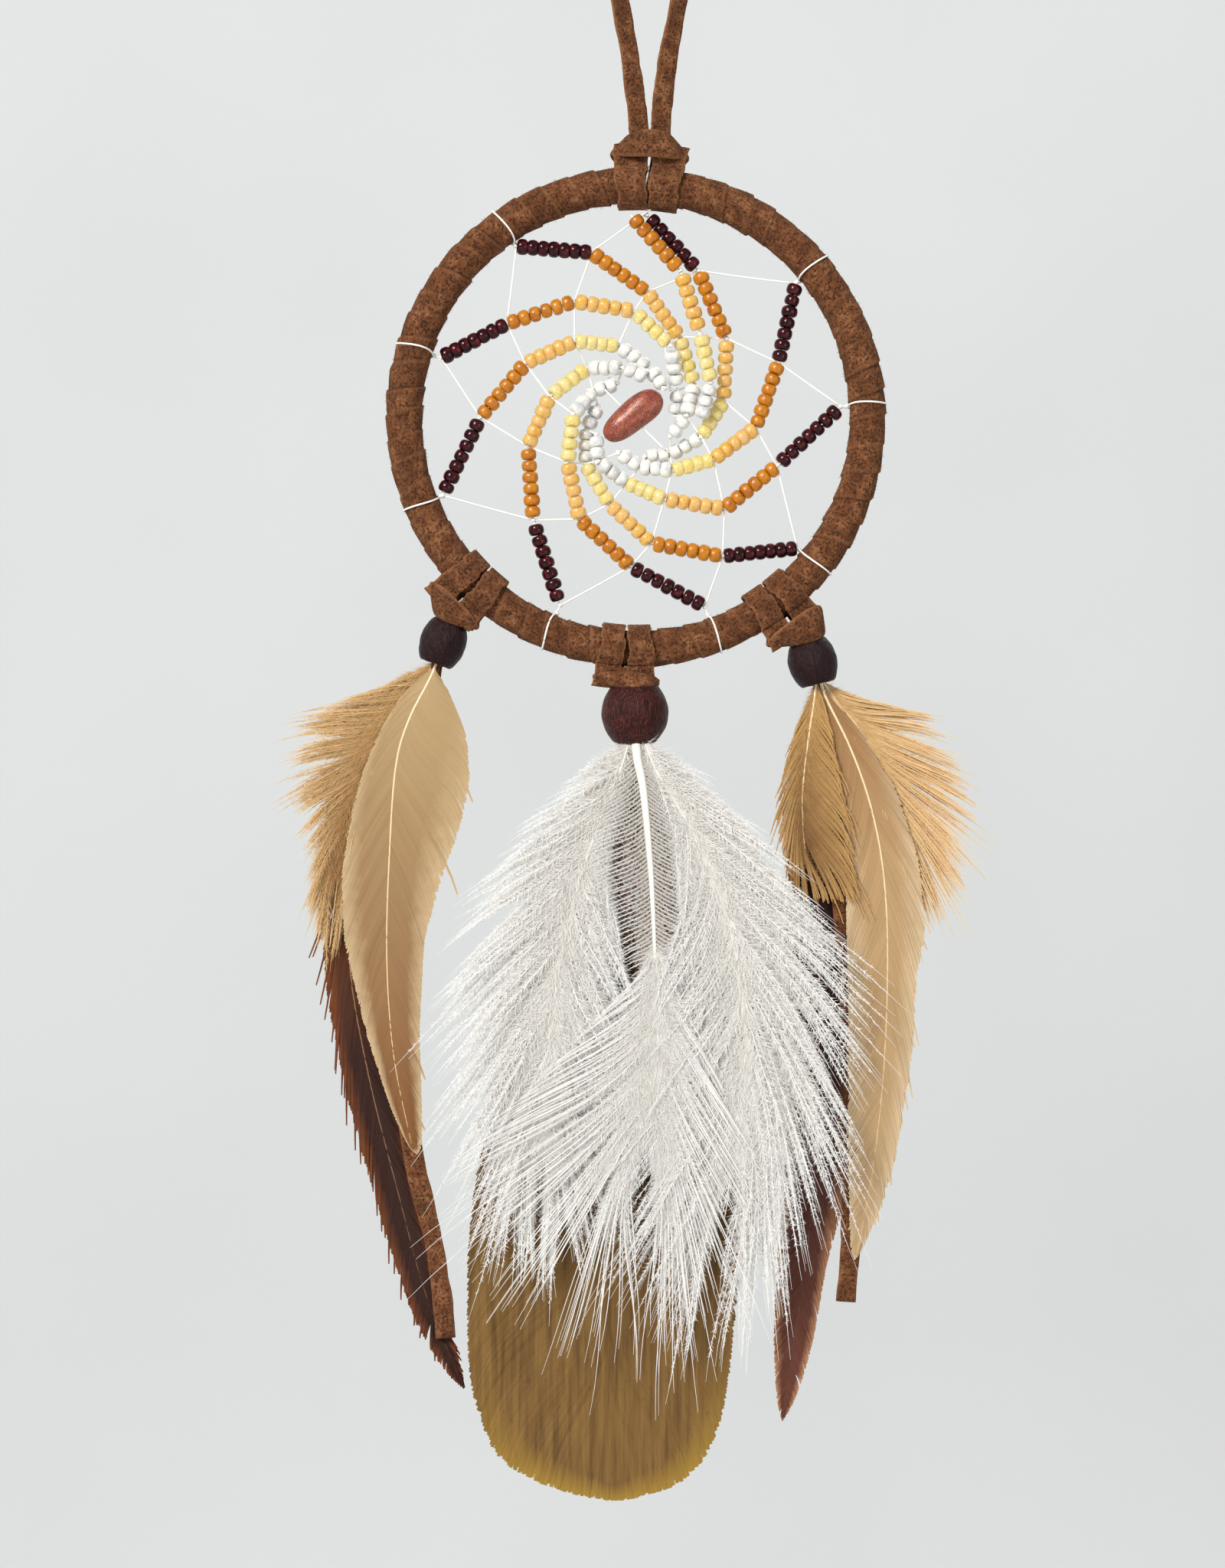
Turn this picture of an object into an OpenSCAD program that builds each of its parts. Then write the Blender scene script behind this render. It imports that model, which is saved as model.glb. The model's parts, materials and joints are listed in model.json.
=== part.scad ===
// Hanging dream catcher: a suede-wrapped hoop with a beaded thread web,
// three feather drops and a suede hanging loop.
// The origin is the inside top of the hanging loop, where a nail or hook holds it.
// +Z is up, and the front faces -Y.

/* [Hoop] */
// Radius of the hoop at the middle of its tube
hoop_r = 41.4; // [41.2:0.1:41.6]
// Radius of the suede-wrapped tube
tube_r = 3.35; // [3.3:0.01:3.4]
// Radius of the metal ring inside the wrap
ring_r = 1.5; // [1.2:0.1:1.8]
// Height of the loop's inside top above the hoop's centre
hang_z = 107; // [104:1:112]
// Sideways distance from the hoop's centre to the loop's top
hang_x = 2.4; // [2.3:0.1:2.5]

/* [Suede lace] */
// Width of the lace where it hangs free
lace_w = 3.6; // [3.2:0.1:3.8]
// Thickness of the lace
lace_t = 1.2; // [0.8:0.1:1.3]
// Thickness of the lace where it is pulled tight in a knot
strap_t = 0.8; // [0.6:0.1:0.9]

/* [Web] */
// Radius of the web thread
thread_r = 0.18; // [0.12:0.01:0.2]
// Outer radius of a seed bead
seed_r = 1.5; // [1.4:0.05:1.5]
// Height of a seed bead along its thread
seed_h = 1.75; // [1.6:0.05:1.75]
// Radius of the hole in a seed bead
seed_hole_r = 0.45; // [0.3:0.05:0.5]
// How much one seed bead's size may differ from the next, in percent
seed_spread = 5; // [0:1:5]

/* [Wooden beads] */
// Radius of the left bead at its middle
left_bead_r = 4.15; // [4:0.05:4.2]
// Radius of the centre bead
center_bead_r = 6; // [5.8:0.1:6]
// Radius of the right bead at its middle
right_bead_r = 4.4; // [4.2:0.05:4.4]

/* [Feathers] */
// Thickness of a flat feather vane
vane_t = 0.5; // [0.4:0.1:0.5]
// Thickness of a downy plume or fluff
down_t = 1.0; // [0.8:0.1:1.0]

/* [Hidden] */
$fn = 48;

suede_color = [0.50, 0.32, 0.20];
dark_wood_color = [0.16, 0.09, 0.11];
thread_color = [0.93, 0.92, 0.88];

gap = 0.05;               // clearance between pieces that do not move apart
run_gap = 0.65;           // clearance between the hoop and the knot it rocks in
inner_r = hoop_r - tube_r;

// ---- the web: where the thread is tied, as [angle, radius] seen from the front ----
web_n = 9;
web_start_r = inner_r - 0.25;
ties = [[125, 37.3], [163, 36.4], [202, 37.3], [248, 36.3], [290, 36.0],
        [321, 37.2], [3, 36.7], [40, 37.3], [87, 36.2]];
ring_a = [[105, 30.5], [144, 28.5], [180, 27.8], [225, 26.0], [268, 26.7],
          [302, 29.3], [341, 26.7], [21, 27.3], [67, 28.5]];
ring_b = [[85, 22.5], [118, 23.5], [154, 22.0], [195, 20.0], [241, 20.8],
          [277, 22.7], [314, 22.8], [355, 21.5], [41, 21.5]];
ring_c = [[62, 16.5], [91, 19.0], [129, 17.4], [167, 15.8], [214, 14.7],
          [253, 16.2], [289, 15.6], [331, 15.8], [11, 16.0]];
ring_d = [[30, 12.1], [64, 14.0], [104, 13.3], [134, 12.6], [178, 11.2],
          [222, 12.2], [262, 11.8], [304, 11.6], [343, 12.2]];
// one arm keeps its last beads further out, clear of the stone's lower end
ring_e = [for (i = [0:web_n - 1]) i == 6 ? [230, 10.6] : [ring_d[i][0] - 30, 9.0]];
ring_f = [for (i = [0:web_n - 1]) i == 6 ? [205, 7.8] : [ring_e[i][0] - 30, 7.1]];
// how far each arm leans back (+) or forward (-) at rings C, D, E and F
lift = [[0.8, 1.6, -1.6, -1.2], [0, -1.6, 1.6, 1.6], [-0.8, 0.8, 0, -2.0],
        [-1.2, 1.6, -1.6, -2.0], [-1.6, -1.6, 0.8, 1.2], [0.4, 0.8, 1.6, 1.6],
        [-1.2, 0.4, -2.4, -1.6], [-1.2, -1.2, -0.4, -1.2], [0.8, -0.4, 1.6, 1.2]];
// the arm that closes the web, in front of the others: [angle, radius, y]
seam = [[91.5, 35.9, -1.6], [73, 27, -2.4], [52, 18.6, -2.4], [24, 14.6, -2.4], [-4, 11.5, -2.4]];
seam_counts = [6, 5, 4, 3];
stone_angle = 39;         // the stone's long axis, from +X towards +Z
stone_l = 12.3;
stone_r = 2.65;
stone_at = [-0.7, 0, 0.1];
stone_hole_r = 0.45;
stone_thread_ends = [[-6.2, 0, 5.6], [5.3, 0, -5.9]];

// ---- the drops: [x, z] seen from the front, y is the drop's own depth ----
side_y = 1.5;
center_y = -1.5;
left_throat = [-32.8, -35.2];
left_bead_at = [-34.6, -40.2];
left_lean = 20;
center_throat = [-0.6, -46.3];
center_bead_at = [-0.2, -52.9];
center_lean = 2;
right_throat = [30.5, -38.4];
right_bead_at = [31.7, -43.7];
right_lean = -14;
bead_half = 4.1;          // half height of a barrel bead
center_half = 5.8;        // half height of the centre bead
bore_r = 2.1;
center_bore_r = 2.6;

function polar(p) = [p[1] * cos(p[0]), len(p) > 2 ? p[2] : 0, p[1] * sin(p[0])];
function lifted(p, y) = [p[0], p[1], y];
function unit(v) = v / norm(v);
function arm(i) = [
    polar(ties[i]), polar(ring_a[i]), polar(ring_b[i]),
    polar(lifted(ring_c[i], lift[i][0])), polar(lifted(ring_d[i], lift[i][1])),
    polar(lifted(ring_e[i], lift[i][2])), polar(lifted(ring_f[i], lift[i][3]))];
function seam_arm() = [for (s = seam) polar(s)];
garnet_count = [7, 7, 7, 7, 7, 7, 7, 7, 6];

// Everything below is drawn about the hoop's centre, then hung from the origin.
module hung() translate([-hang_x, 0, -hang_z]) children();

// Turns +Z to point along v.
module aim(v) rotate([0, acos(v[2] / norm(v)), atan2(v[1], v[0])]) children();

// Turns a shape drawn about Z in the XY plane to lie about the hoop's axis.
module about_hoop_axis() rotate([90, 0, 0]) children();

// Puts a shape on the hoop at an angle, with local X outward and local Z along the tube.
module on_hoop(angle) rotate([0, -angle, 0]) translate([hoop_r, 0, 0]) children();

// One rounded seed bead on Z, centred.
module seed(scale_by = 1) {
    ring_tube = seed_h / 2;
    scale(scale_by) rotate_extrude($fn = 24) difference() {
        translate([seed_r - ring_tube, 0]) circle(r = ring_tube, $fn = 24);
        translate([-seed_r, -seed_r]) square([seed_r + seed_hole_r, 2 * seed_r]);
    }
}

// A straight row of beads between two tied points of the web.
module bead_row(from, to, count, seed_no) {
    along = to - from;
    length = norm(along);
    pitch = min(2.05, (length - 0.36) / count);
    first = (length - pitch * (count - 1)) / 2;
    sizes = rands(1 - seed_spread / 100, 1, count, seed_no);
    for (i = [0:count - 1])
        translate(from + unit(along) * (first + i * pitch))
            aim(along) seed(sizes[i]);
}

// The same row of every arm, between ring k and ring k + 1.
module arm_rows(k, counts) {
    for (i = [0:web_n - 1])
        bead_row(arm(i)[k], arm(i)[k + 1], counts[i], 100 * k + i);
}

// A straight piece of thread, a little short of the points it is tied at.
module strand(from, to) {
    along = to - from;
    cut = 2 * thread_r;
    translate(from + unit(along) * cut) aim(along)
        cylinder(r = thread_r, h = norm(along) - 2 * cut, $fn = 16);
}

// ---- suede lace swept along a route ----
// A route point is [x, y, z, turn]: turn is 0 where the flat side faces the front
// and 90 where the lace is edge on.
function spline(p0, p1, p2, p3, t) =
    0.5 * (2 * p1 + (p2 - p0) * t + (2 * p0 - 5 * p1 + 4 * p2 - p3) * t * t
           + (3 * p1 - p0 - 3 * p2 + p3) * t * t * t);
function smooth_route(r, steps) = [
    for (i = [0:len(r) - 2], s = [0:steps - 1])
        spline(r[max(i - 1, 0)], r[i], r[i + 1], r[min(i + 2, len(r) - 1)], s / steps),
    r[len(r) - 1]];
function place(q) = [q[0], q[1], q[2]];
function heading(r, i) = unit(place(r[min(i + 1, len(r) - 1)]) - place(r[max(i - 1, 0)]));
function lace_ring(r, i, w, t) =
    let (d = heading(r, i),
         flat_side = unit(cross([0, 1, 0], d)),
         deep_side = cross(d, flat_side),
         wide = cos(r[i][3]) * flat_side + sin(r[i][3]) * deep_side,
         thick = cross(d, wide))
    [for (k = [0:7])
        place(r[i]) + wide * (w / 2 * cos(45 * k + 22.5) / cos(22.5))
                    + thick * (t / 2 * sin(45 * k + 22.5) / cos(22.5))];
module lace(route, steps, w = lace_w, t = lace_t) {
    r = smooth_route(route, steps);
    n = len(r);
    points = [for (i = [0:n - 1]) each lace_ring(r, i, w, t)];
    sides = [for (i = [0:n - 2], k = [0:7])
        let (a = 8 * i + k, b = 8 * i + (k + 1) % 8)
            each [[a, b, b + 8], [a, b + 8, a + 8]]];
    polyhedron(points = points,
        faces = concat([[for (k = [7:-1:0]) k]], sides,
                       [[for (k = [0:7]) 8 * (n - 1) + k]]), convexity = 4);
}

loop_half = [[1.85, 0, 50.2, 20], [2.3, 0, 56, 35], [3.4, 0, 64, 55], [5.3, 0, 75, 70],
             [7.2, 0, 86, 85], [7.7, 0, 94, 90], [6.4, 0, 101.6, 90], [3.4, 0, 106.4, 90]];
loop_top = [0, 0, hang_z + lace_t / 2, 90];
loop_route = concat(
    [for (p = loop_half) [hang_x + p[0], p[1], p[2], p[3]]],
    [[hang_x, loop_top[1], loop_top[2], loop_top[3]]],
    [for (i = [len(loop_half) - 1:-1:0])
        [hang_x - loop_half[i][0], loop_half[i][1], loop_half[i][2], 180 - loop_half[i][3]]]);

left_long_route = [[-36.6, 1.8, -46.8, 0], [-37.4, 1.8, -52, 0], [-40, 1.8, -70, 10],
                   [-42, 1.8, -90, 0], [-42.4, 1.8, -110, -10], [-40.2, 1.8, -131, 0],
                   [-35.8, 1.8, -150, 20], [-34.2, 1.8, -165, 10]];
left_short_route = [[-36.0, 4.4, -47.2, 0], [-36.8, 4.4, -56, 0], [-39.6, 4.4, -74, -10],
                    [-42.4, 4.4, -92, 0], [-44.2, 4.4, -108, 10]];
center_long_route = [[-0.9, -2.6, -61.4, 0], [-1.6, -2.6, -75, 0], [-3.0, -2.6, -95, 10],
                     [-4.6, -2.6, -115, 0], [-5.2, -2.6, -136, -10]];
center_short_route = [[2.9, -2.6, -61.6, 0], [4.0, -2.6, -72, 0], [6.2, -2.6, -88, -10],
                      [7.8, -2.6, -104, 0], [8.2, -2.6, -118, 10]];
right_long_route = [[33.1, 2.6, -50.2, 0], [34.2, 2.6, -60, 0], [36.8, 2.6, -84, -10],
                    [38.8, 2.6, -110, 0], [39.4, 2.6, -130, 10], [38.6, 2.6, -146, 0],
                    [37.8, 2.6, -158.6, 0]];
right_short_route = [[33.4, 5.2, -51, 0], [35.6, 5.2, -66, 0], [39.0, 5.2, -84, 10],
                     [41.6, 5.2, -98, 0], [43.0, 5.2, -110, -10]];

// ---- feather outlines: rows of [z, left x, right x] from the quill to the tip ----
left_tan = [[-45.4, -37.0, -36.0], [-49.5, -42, -33.5], [-57, -46.4, -30.4], [-65, -49.5, -29.6],
            [-74, -51.5, -31.6], [-83, -52.8, -35], [-94, -52.2, -38], [-110, -48.4, -38.8],
            [-124, -43.8, -38.4], [-132, -40, -38.4]];
left_fluff = [[-47.2, -41.6, -39.6], [-51.5, -56, -41], [-55, -61.5, -44.2], [-65, -63, -48],
              [-74, -61, -50.5], [-82, -59, -52], [-90, -59.2, -53], [-97, -56.4, -53.6]];
left_brown = [[-46.6, -37.4, -36.4], [-60, -47, -41], [-75, -54.5, -46], [-90, -57, -47.5],
              [-105, -55.5, -45], [-120, -52.5, -42.5], [-135, -48.5, -39.5], [-150, -44, -36.5],
              [-162, -40, -34], [-170, -35.5, -31.6], [-174.5, -31.6, -30.4]];
center_striped = [[-61.5, -1.6, 1.8], [-68, -7, 6.7], [-76, -9, 10], [-84, -7.8, 11.5],
                  [-94, -4.2, 10.2], [-102, 0, 7.4], [-106.4, 2.6, 4.6]];
center_left = [[-62.4, -5, -0.6], [-64, -11.8, -0.8], [-70.5, -19.4, -2.2], [-80, -26.4, 0],
               [-90, -33, 2.6], [-103, -37, 2.6], [-117, -37, 1.2], [-131, -35, 0],
               [-144, -31.6, -1.6], [-155, -26, -9.8]];
center_right = [[-62.6, 0.5, 7], [-64, 0.6, 13], [-73, 2.6, 21], [-83, 3.2, 31.4],
                [-92.5, 2.6, 38.2], [-103, 1.2, 42.4], [-117, -5.6, 43.6], [-131, -11, 41],
                [-144, -15.2, 38], [-155, -15.2, 30], [-165, -5.6, 21.8], [-170, 5.2, 14.2]];
center_olive = [[-60.4, -1.2, 1], [-80, -9, 7], [-100, -17, 12], [-120, -24, 16],
                [-135, -28.5, 18.3], [-148, -29.9, 18.8], [-161, -30.1, 17.6], [-172, -29.7, 16.5],
                [-180, -27.6, 15], [-186.6, -24.6, 12.2], [-191.4, -15.6, 7], [-193.7, -6, -2]];
right_gold = [[-49.6, 32.2, 33.2], [-55.5, 28.6, 34.8], [-64, 26.2, 36.6], [-73, 25, 38.4],
              [-80, 26.6, 39.2], [-87, 29.4, 40.2]];
right_tan = [[-49.8, 33, 34.2], [-56, 34, 40], [-67, 37, 47], [-80, 37.6, 51], [-93, 37.8, 52],
             [-100, 38, 50.4], [-114, 38, 49.6], [-133, 38, 46.6], [-141, 38.2, 44.2],
             [-151, 38.6, 39.8]];
right_fluff = [[-51, 36.8, 41], [-53.5, 38, 54.2], [-62.5, 41.4, 58.4], [-71, 44.4, 62],
               [-78, 46.4, 59], [-86, 49, 59.4], [-93, 50.6, 53]];
right_dark = [[-50.4, 32.4, 33.4], [-60, 29.6, 36], [-75, 27.6, 38], [-95, 27, 39.4],
              [-115, 27.4, 39.4], [-130, 27, 39], [-141, 26.6, 37.6], [-152, 25.2, 34.4],
              [-166, 24.8, 32], [-175, 25.2, 29.4], [-180.4, 26, 26.8]];

module vane(rows, y, t) {
    last = len(rows) - 1;
    outline = concat([for (r = rows) [r[1], r[0]]],
                     [for (i = [last:-1:0]) [rows[i][2], rows[i][0]]]);
    hung() translate([0, y + t, 0]) rotate([90, 0, 0])
        linear_extrude(height = t) polygon(outline);
}

// ---- hanging loop and hoop ----
module hanging_loop() color(suede_color) hung() lace(loop_route, 4);

// The lark's head that holds the hoop: two straps round the tube and the bight above them.
module hanger_knot() {
    knot_angle = 87;
    strap_w = 5.9;
    strap_gap = 1.0;
    strap_in = tube_r + run_gap;
    bight_in = 3.6;
    color(suede_color) hung() on_hoop(knot_angle) difference() {
        union() {
            for (side = [-1, 1])
                translate([0, 0, side * (strap_w + strap_gap) / 2])
                    cylinder(r = strap_in + strap_t, h = strap_w, center = true);
            translate([bight_in, -4.2, -strap_w - strap_gap / 2])
                cube([4.2, 6.6, 2 * strap_w + strap_gap]);
        }
        cylinder(r = strap_in, h = 20, center = true);
    }
}

module hoop_ring() color("silver") hung() about_hoop_axis()
    rotate_extrude($fn = 96) translate([hoop_r, 0]) circle(r = ring_r);

module suede_wrap() color(suede_color) hung() about_hoop_axis()
    rotate_extrude($fn = 96) translate([hoop_r, 0]) difference() {
        circle(r = tube_r);
        circle(r = ring_r + gap);
    }

// The thread's turns round the wrapped hoop, one at each tie.
module web_hitches() {
    hitch_r = tube_r + gap + thread_r;
    color(thread_color) hung() for (t = ties)
        on_hoop(t[0]) rotate_extrude($fn = 48)
            translate([hitch_r, 0]) circle(r = thread_r, $fn = 16);
}

// The one thread of the web, from tie to tie and from ring to ring.
module web_thread() color(thread_color) hung() {
    for (i = [0:web_n - 1]) {
        here = arm(i);
        before = arm((i + web_n - 1) % web_n);
        for (k = [0:5]) {
            strand(here[k], here[k + 1]);
            strand(here[k + 1], before[k]);
        }
    }
    for (k = [0:3]) strand(seam_arm()[k], seam_arm()[k + 1]);
    strand(polar(ties[web_n - 1]), seam_arm()[0]);
    for (t = ties) if (web_start_r - t[1] > 1) strand(polar([t[0], web_start_r]), polar(t));
}

module stone_thread() color(thread_color) hung()
    strand(stone_thread_ends[0], stone_thread_ends[1]);

module garnet_beads() color([0.18, 0.05, 0.07]) hung() arm_rows(0, garnet_count);
module amber_beads() color([0.75, 0.45, 0.08]) hung() {
    arm_rows(1, [for (i = [1:web_n]) 6]);
    bead_row(seam_arm()[0], seam_arm()[1], seam_counts[0], 51);
}
module honey_beads() color([0.88, 0.70, 0.35]) hung() {
    arm_rows(2, [for (i = [1:web_n]) 5]);
    bead_row(seam_arm()[1], seam_arm()[2], seam_counts[1], 52);
}
module straw_beads() color([0.91, 0.80, 0.51]) hung() {
    arm_rows(3, [for (i = [1:web_n]) 4]);
    bead_row(seam_arm()[2], seam_arm()[3], seam_counts[2], 53);
}
module pearl_beads() color([0.94, 0.94, 0.92]) hung() {
    arm_rows(4, [for (i = [1:web_n]) 3]);
    arm_rows(5, [for (i = [1:web_n]) 2]);
    bead_row(seam_arm()[3], seam_arm()[4], seam_counts[3], 54);
}

// A tumbled stone, drilled across its length.
module center_stone() {
    thin_r = stone_r * 0.9;
    along = (stone_l - stone_r - thin_r) / 2;
    color([0.59, 0.27, 0.18]) hung() translate(stone_at) difference() {
        rotate([0, 90 - stone_angle, 0]) {
            translate([0, 0, along]) sphere(r = stone_r);
            translate([0, 0, -along]) sphere(r = thin_r);
            translate([0, 0, -along]) cylinder(r1 = thin_r, r2 = stone_r, h = 2 * along);
        }
        aim(stone_thread_ends[1] - stone_thread_ends[0])
            cylinder(r = stone_hole_r, h = 3 * stone_r, center = true);
    }
}

// ---- the drops ----
// A lark's head on the hoop: two straps round the tube and the bight outside it.
module drop_knot(angle, strap_w, bight_w) {
    strap_in = tube_r + 2 * gap;
    strap_deg = strap_w / hoop_r * 180 / PI;
    bight_deg = bight_w / hoop_r * 180 / PI;
    split_deg = 0.9;
    bight_out = tube_r + 1.3;
    color(suede_color) hung() about_hoop_axis() {
        for (side = [-1, 1])
            rotate([0, 0, angle + (side < 0 ? -split_deg / 2 - strap_deg : split_deg / 2)])
                rotate_extrude(angle = strap_deg, $fn = 96) translate([hoop_r, 0])
                    difference() {
                        circle(r = strap_in + strap_t);
                        circle(r = strap_in);
                    }
        rotate([0, 0, angle - bight_deg / 2])
            rotate_extrude(angle = bight_deg, $fn = 96) translate([hoop_r, 0])
                difference() {
                    translate([1.4, -3.6]) square([bight_out - 1.4, 7.2]);
                    circle(r = strap_in + gap);
                }
    }
}
module left_knot() drop_knot(226, 4.4, 11.6);
module center_knot() drop_knot(267.5, 4.4, 12);
module right_knot() drop_knot(307, 4.6, 12);

// The two laces and the quills where they pass through a bead.
module lace_core(throat, bead_at, y, lean, half, r) {
    top = 1.0;
    length = norm([throat[0] - bead_at[0], throat[1] - bead_at[1]]) + half - top;
    color(suede_color) hung() translate([bead_at[0], y, bead_at[1]]) rotate([0, lean, 0])
        translate([0, 0, -half]) cylinder(r = r - 2 * gap, h = length);
}
module left_laces() lace_core(left_throat, left_bead_at, side_y, left_lean, bead_half, bore_r);
module right_laces() lace_core(right_throat, right_bead_at, side_y, right_lean, bead_half, bore_r);
module center_laces()
    lace_core(center_throat, center_bead_at, center_y, center_lean, center_half, center_bore_r);

// A turned wooden bead: a barrel whose side is an arc, with flat ends and a bore.
module wood_bead(r, half, end_r, hole_r) {
    bulge = r - end_r;
    side_r = (half * half + bulge * bulge) / (2 * bulge);
    side_a = asin(half / side_r);
    steps = 8;
    side = [for (i = [-steps:steps])
        [r - side_r + side_r * cos(side_a * i / steps), side_r * sin(side_a * i / steps)]];
    rotate_extrude() polygon(concat([[hole_r, -half]], side, [[hole_r, half]]));
}
module left_wood_bead() color(dark_wood_color) hung()
    translate([left_bead_at[0], side_y, left_bead_at[1]]) rotate([0, left_lean, 0])
        wood_bead(left_bead_r, bead_half, 2.9, bore_r);
module right_wood_bead() color(dark_wood_color) hung()
    translate([right_bead_at[0], side_y, right_bead_at[1]]) rotate([0, right_lean, 0])
        wood_bead(right_bead_r, bead_half, 3.1, bore_r);
module center_wood_bead() color(dark_wood_color) hung()
    translate([center_bead_at[0], center_y, center_bead_at[1]]) rotate([0, center_lean, 0])
        wood_bead(center_bead_r, center_half, 3.2, center_bore_r);

// ---- feathers and lace tails, each in its own layer from front to back ----
module left_tan_feather() color([0.83, 0.70, 0.53]) vane(left_tan, 0.4, vane_t);
module left_fluff_feather() color([0.85, 0.68, 0.42]) vane(left_fluff, 1.2, down_t);
module left_brown_feather() color([0.38, 0.20, 0.10]) vane(left_brown, 2.8, vane_t);
module left_long_tail() color(suede_color) hung() lace(left_long_route, 6);
module left_short_tail() color(suede_color) hung() lace(left_short_route, 6);

module center_right_plume() color([0.95, 0.95, 0.94]) vane(center_right, -6.6, down_t);
module center_left_plume() color([0.93, 0.93, 0.92]) vane(center_left, -5.3, down_t);
module center_striped_feather() color([0.75, 0.72, 0.68]) vane(center_striped, -4, vane_t);
module center_olive_feather() color([0.55, 0.42, 0.21]) vane(center_olive, -1.6, vane_t);
module center_long_tail() color(suede_color) hung() lace(center_long_route, 6);
module center_short_tail() color(suede_color) hung() lace(center_short_route, 6);

module right_gold_feather() color([0.78, 0.58, 0.30]) vane(right_gold, 0.4, vane_t);
module right_tan_feather() color([0.80, 0.66, 0.45]) vane(right_tan, 1.2, vane_t);
module right_fluff_feather() color([0.85, 0.68, 0.42]) vane(right_fluff, 2.0, down_t);
module right_dark_feather() color([0.30, 0.15, 0.11]) vane(right_dark, 3.6, vane_t);
module right_long_tail() color(suede_color) hung() lace(right_long_route, 6);
module right_short_tail() color(suede_color) hung() lace(right_short_route, 6);

hanging_loop();
hanger_knot();
hoop_ring();
suede_wrap();
web_hitches();
web_thread();
stone_thread();
garnet_beads();
amber_beads();
honey_beads();
straw_beads();
pearl_beads();
left_knot();
center_knot();
right_knot();
center_stone();
left_laces();
left_wood_bead();
center_laces();
center_wood_bead();
right_laces();
right_wood_bead();
left_tan_feather();
left_fluff_feather();
left_brown_feather();
left_long_tail();
left_short_tail();
center_striped_feather();
center_left_plume();
center_right_plume();
center_olive_feather();
center_long_tail();
center_short_tail();
right_gold_feather();
right_tan_feather();
right_fluff_feather();
right_dark_feather();
right_long_tail();
right_short_tail();
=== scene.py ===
import json
import math

import bpy
import numpy as np
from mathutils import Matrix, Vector


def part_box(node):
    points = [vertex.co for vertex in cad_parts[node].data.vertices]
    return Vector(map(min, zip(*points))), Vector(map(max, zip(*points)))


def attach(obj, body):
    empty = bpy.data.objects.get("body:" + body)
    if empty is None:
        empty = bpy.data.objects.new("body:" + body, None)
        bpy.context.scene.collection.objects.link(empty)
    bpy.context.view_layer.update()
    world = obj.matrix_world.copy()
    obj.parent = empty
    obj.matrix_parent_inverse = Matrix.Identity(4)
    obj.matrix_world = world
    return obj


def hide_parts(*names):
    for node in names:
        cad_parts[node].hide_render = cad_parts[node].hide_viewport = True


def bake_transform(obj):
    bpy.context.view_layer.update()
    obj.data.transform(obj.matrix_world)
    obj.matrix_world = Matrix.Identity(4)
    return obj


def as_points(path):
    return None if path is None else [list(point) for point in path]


# The looks of the hanging dream catcher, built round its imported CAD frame.
# Metres, +Z up, the front faces -Y. Places measured in millimetres are from the hoop's centre.

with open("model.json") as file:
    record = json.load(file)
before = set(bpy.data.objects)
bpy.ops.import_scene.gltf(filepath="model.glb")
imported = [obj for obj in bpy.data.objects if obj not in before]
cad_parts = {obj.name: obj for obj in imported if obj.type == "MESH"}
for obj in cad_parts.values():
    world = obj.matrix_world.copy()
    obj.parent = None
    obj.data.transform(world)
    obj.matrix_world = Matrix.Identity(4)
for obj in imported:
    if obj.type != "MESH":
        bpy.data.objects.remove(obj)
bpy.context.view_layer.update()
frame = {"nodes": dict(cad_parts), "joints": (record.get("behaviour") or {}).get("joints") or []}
nodes = frame["nodes"]

MM = 0.001
Y_AXIS = np.array([0.0, 1.0, 0.0])


def box_of(node):
    low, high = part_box(node)
    return np.array(low), np.array(high)


def middle_of(node):
    low, high = box_of(node)
    return (low + high) / 2


HOOP = middle_of("hoop_ring")
WRAP_LOW, WRAP_HIGH = box_of("suede_wrap")
TUBE_R = (WRAP_HIGH[1] - WRAP_LOW[1]) / 2
HOOP_R = (WRAP_HIGH[0] - WRAP_LOW[0]) / 2 - TUBE_R


def from_hoop(points):
    """Millimetres from the hoop's centre, as metres in the row frame."""
    return HOOP + np.asarray(points, float) * MM


def unit(v):
    return v / np.maximum(np.linalg.norm(v, axis=-1, keepdims=True), 1e-12)


def lerp(a, b, t):
    return a + (b - a) * t


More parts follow.
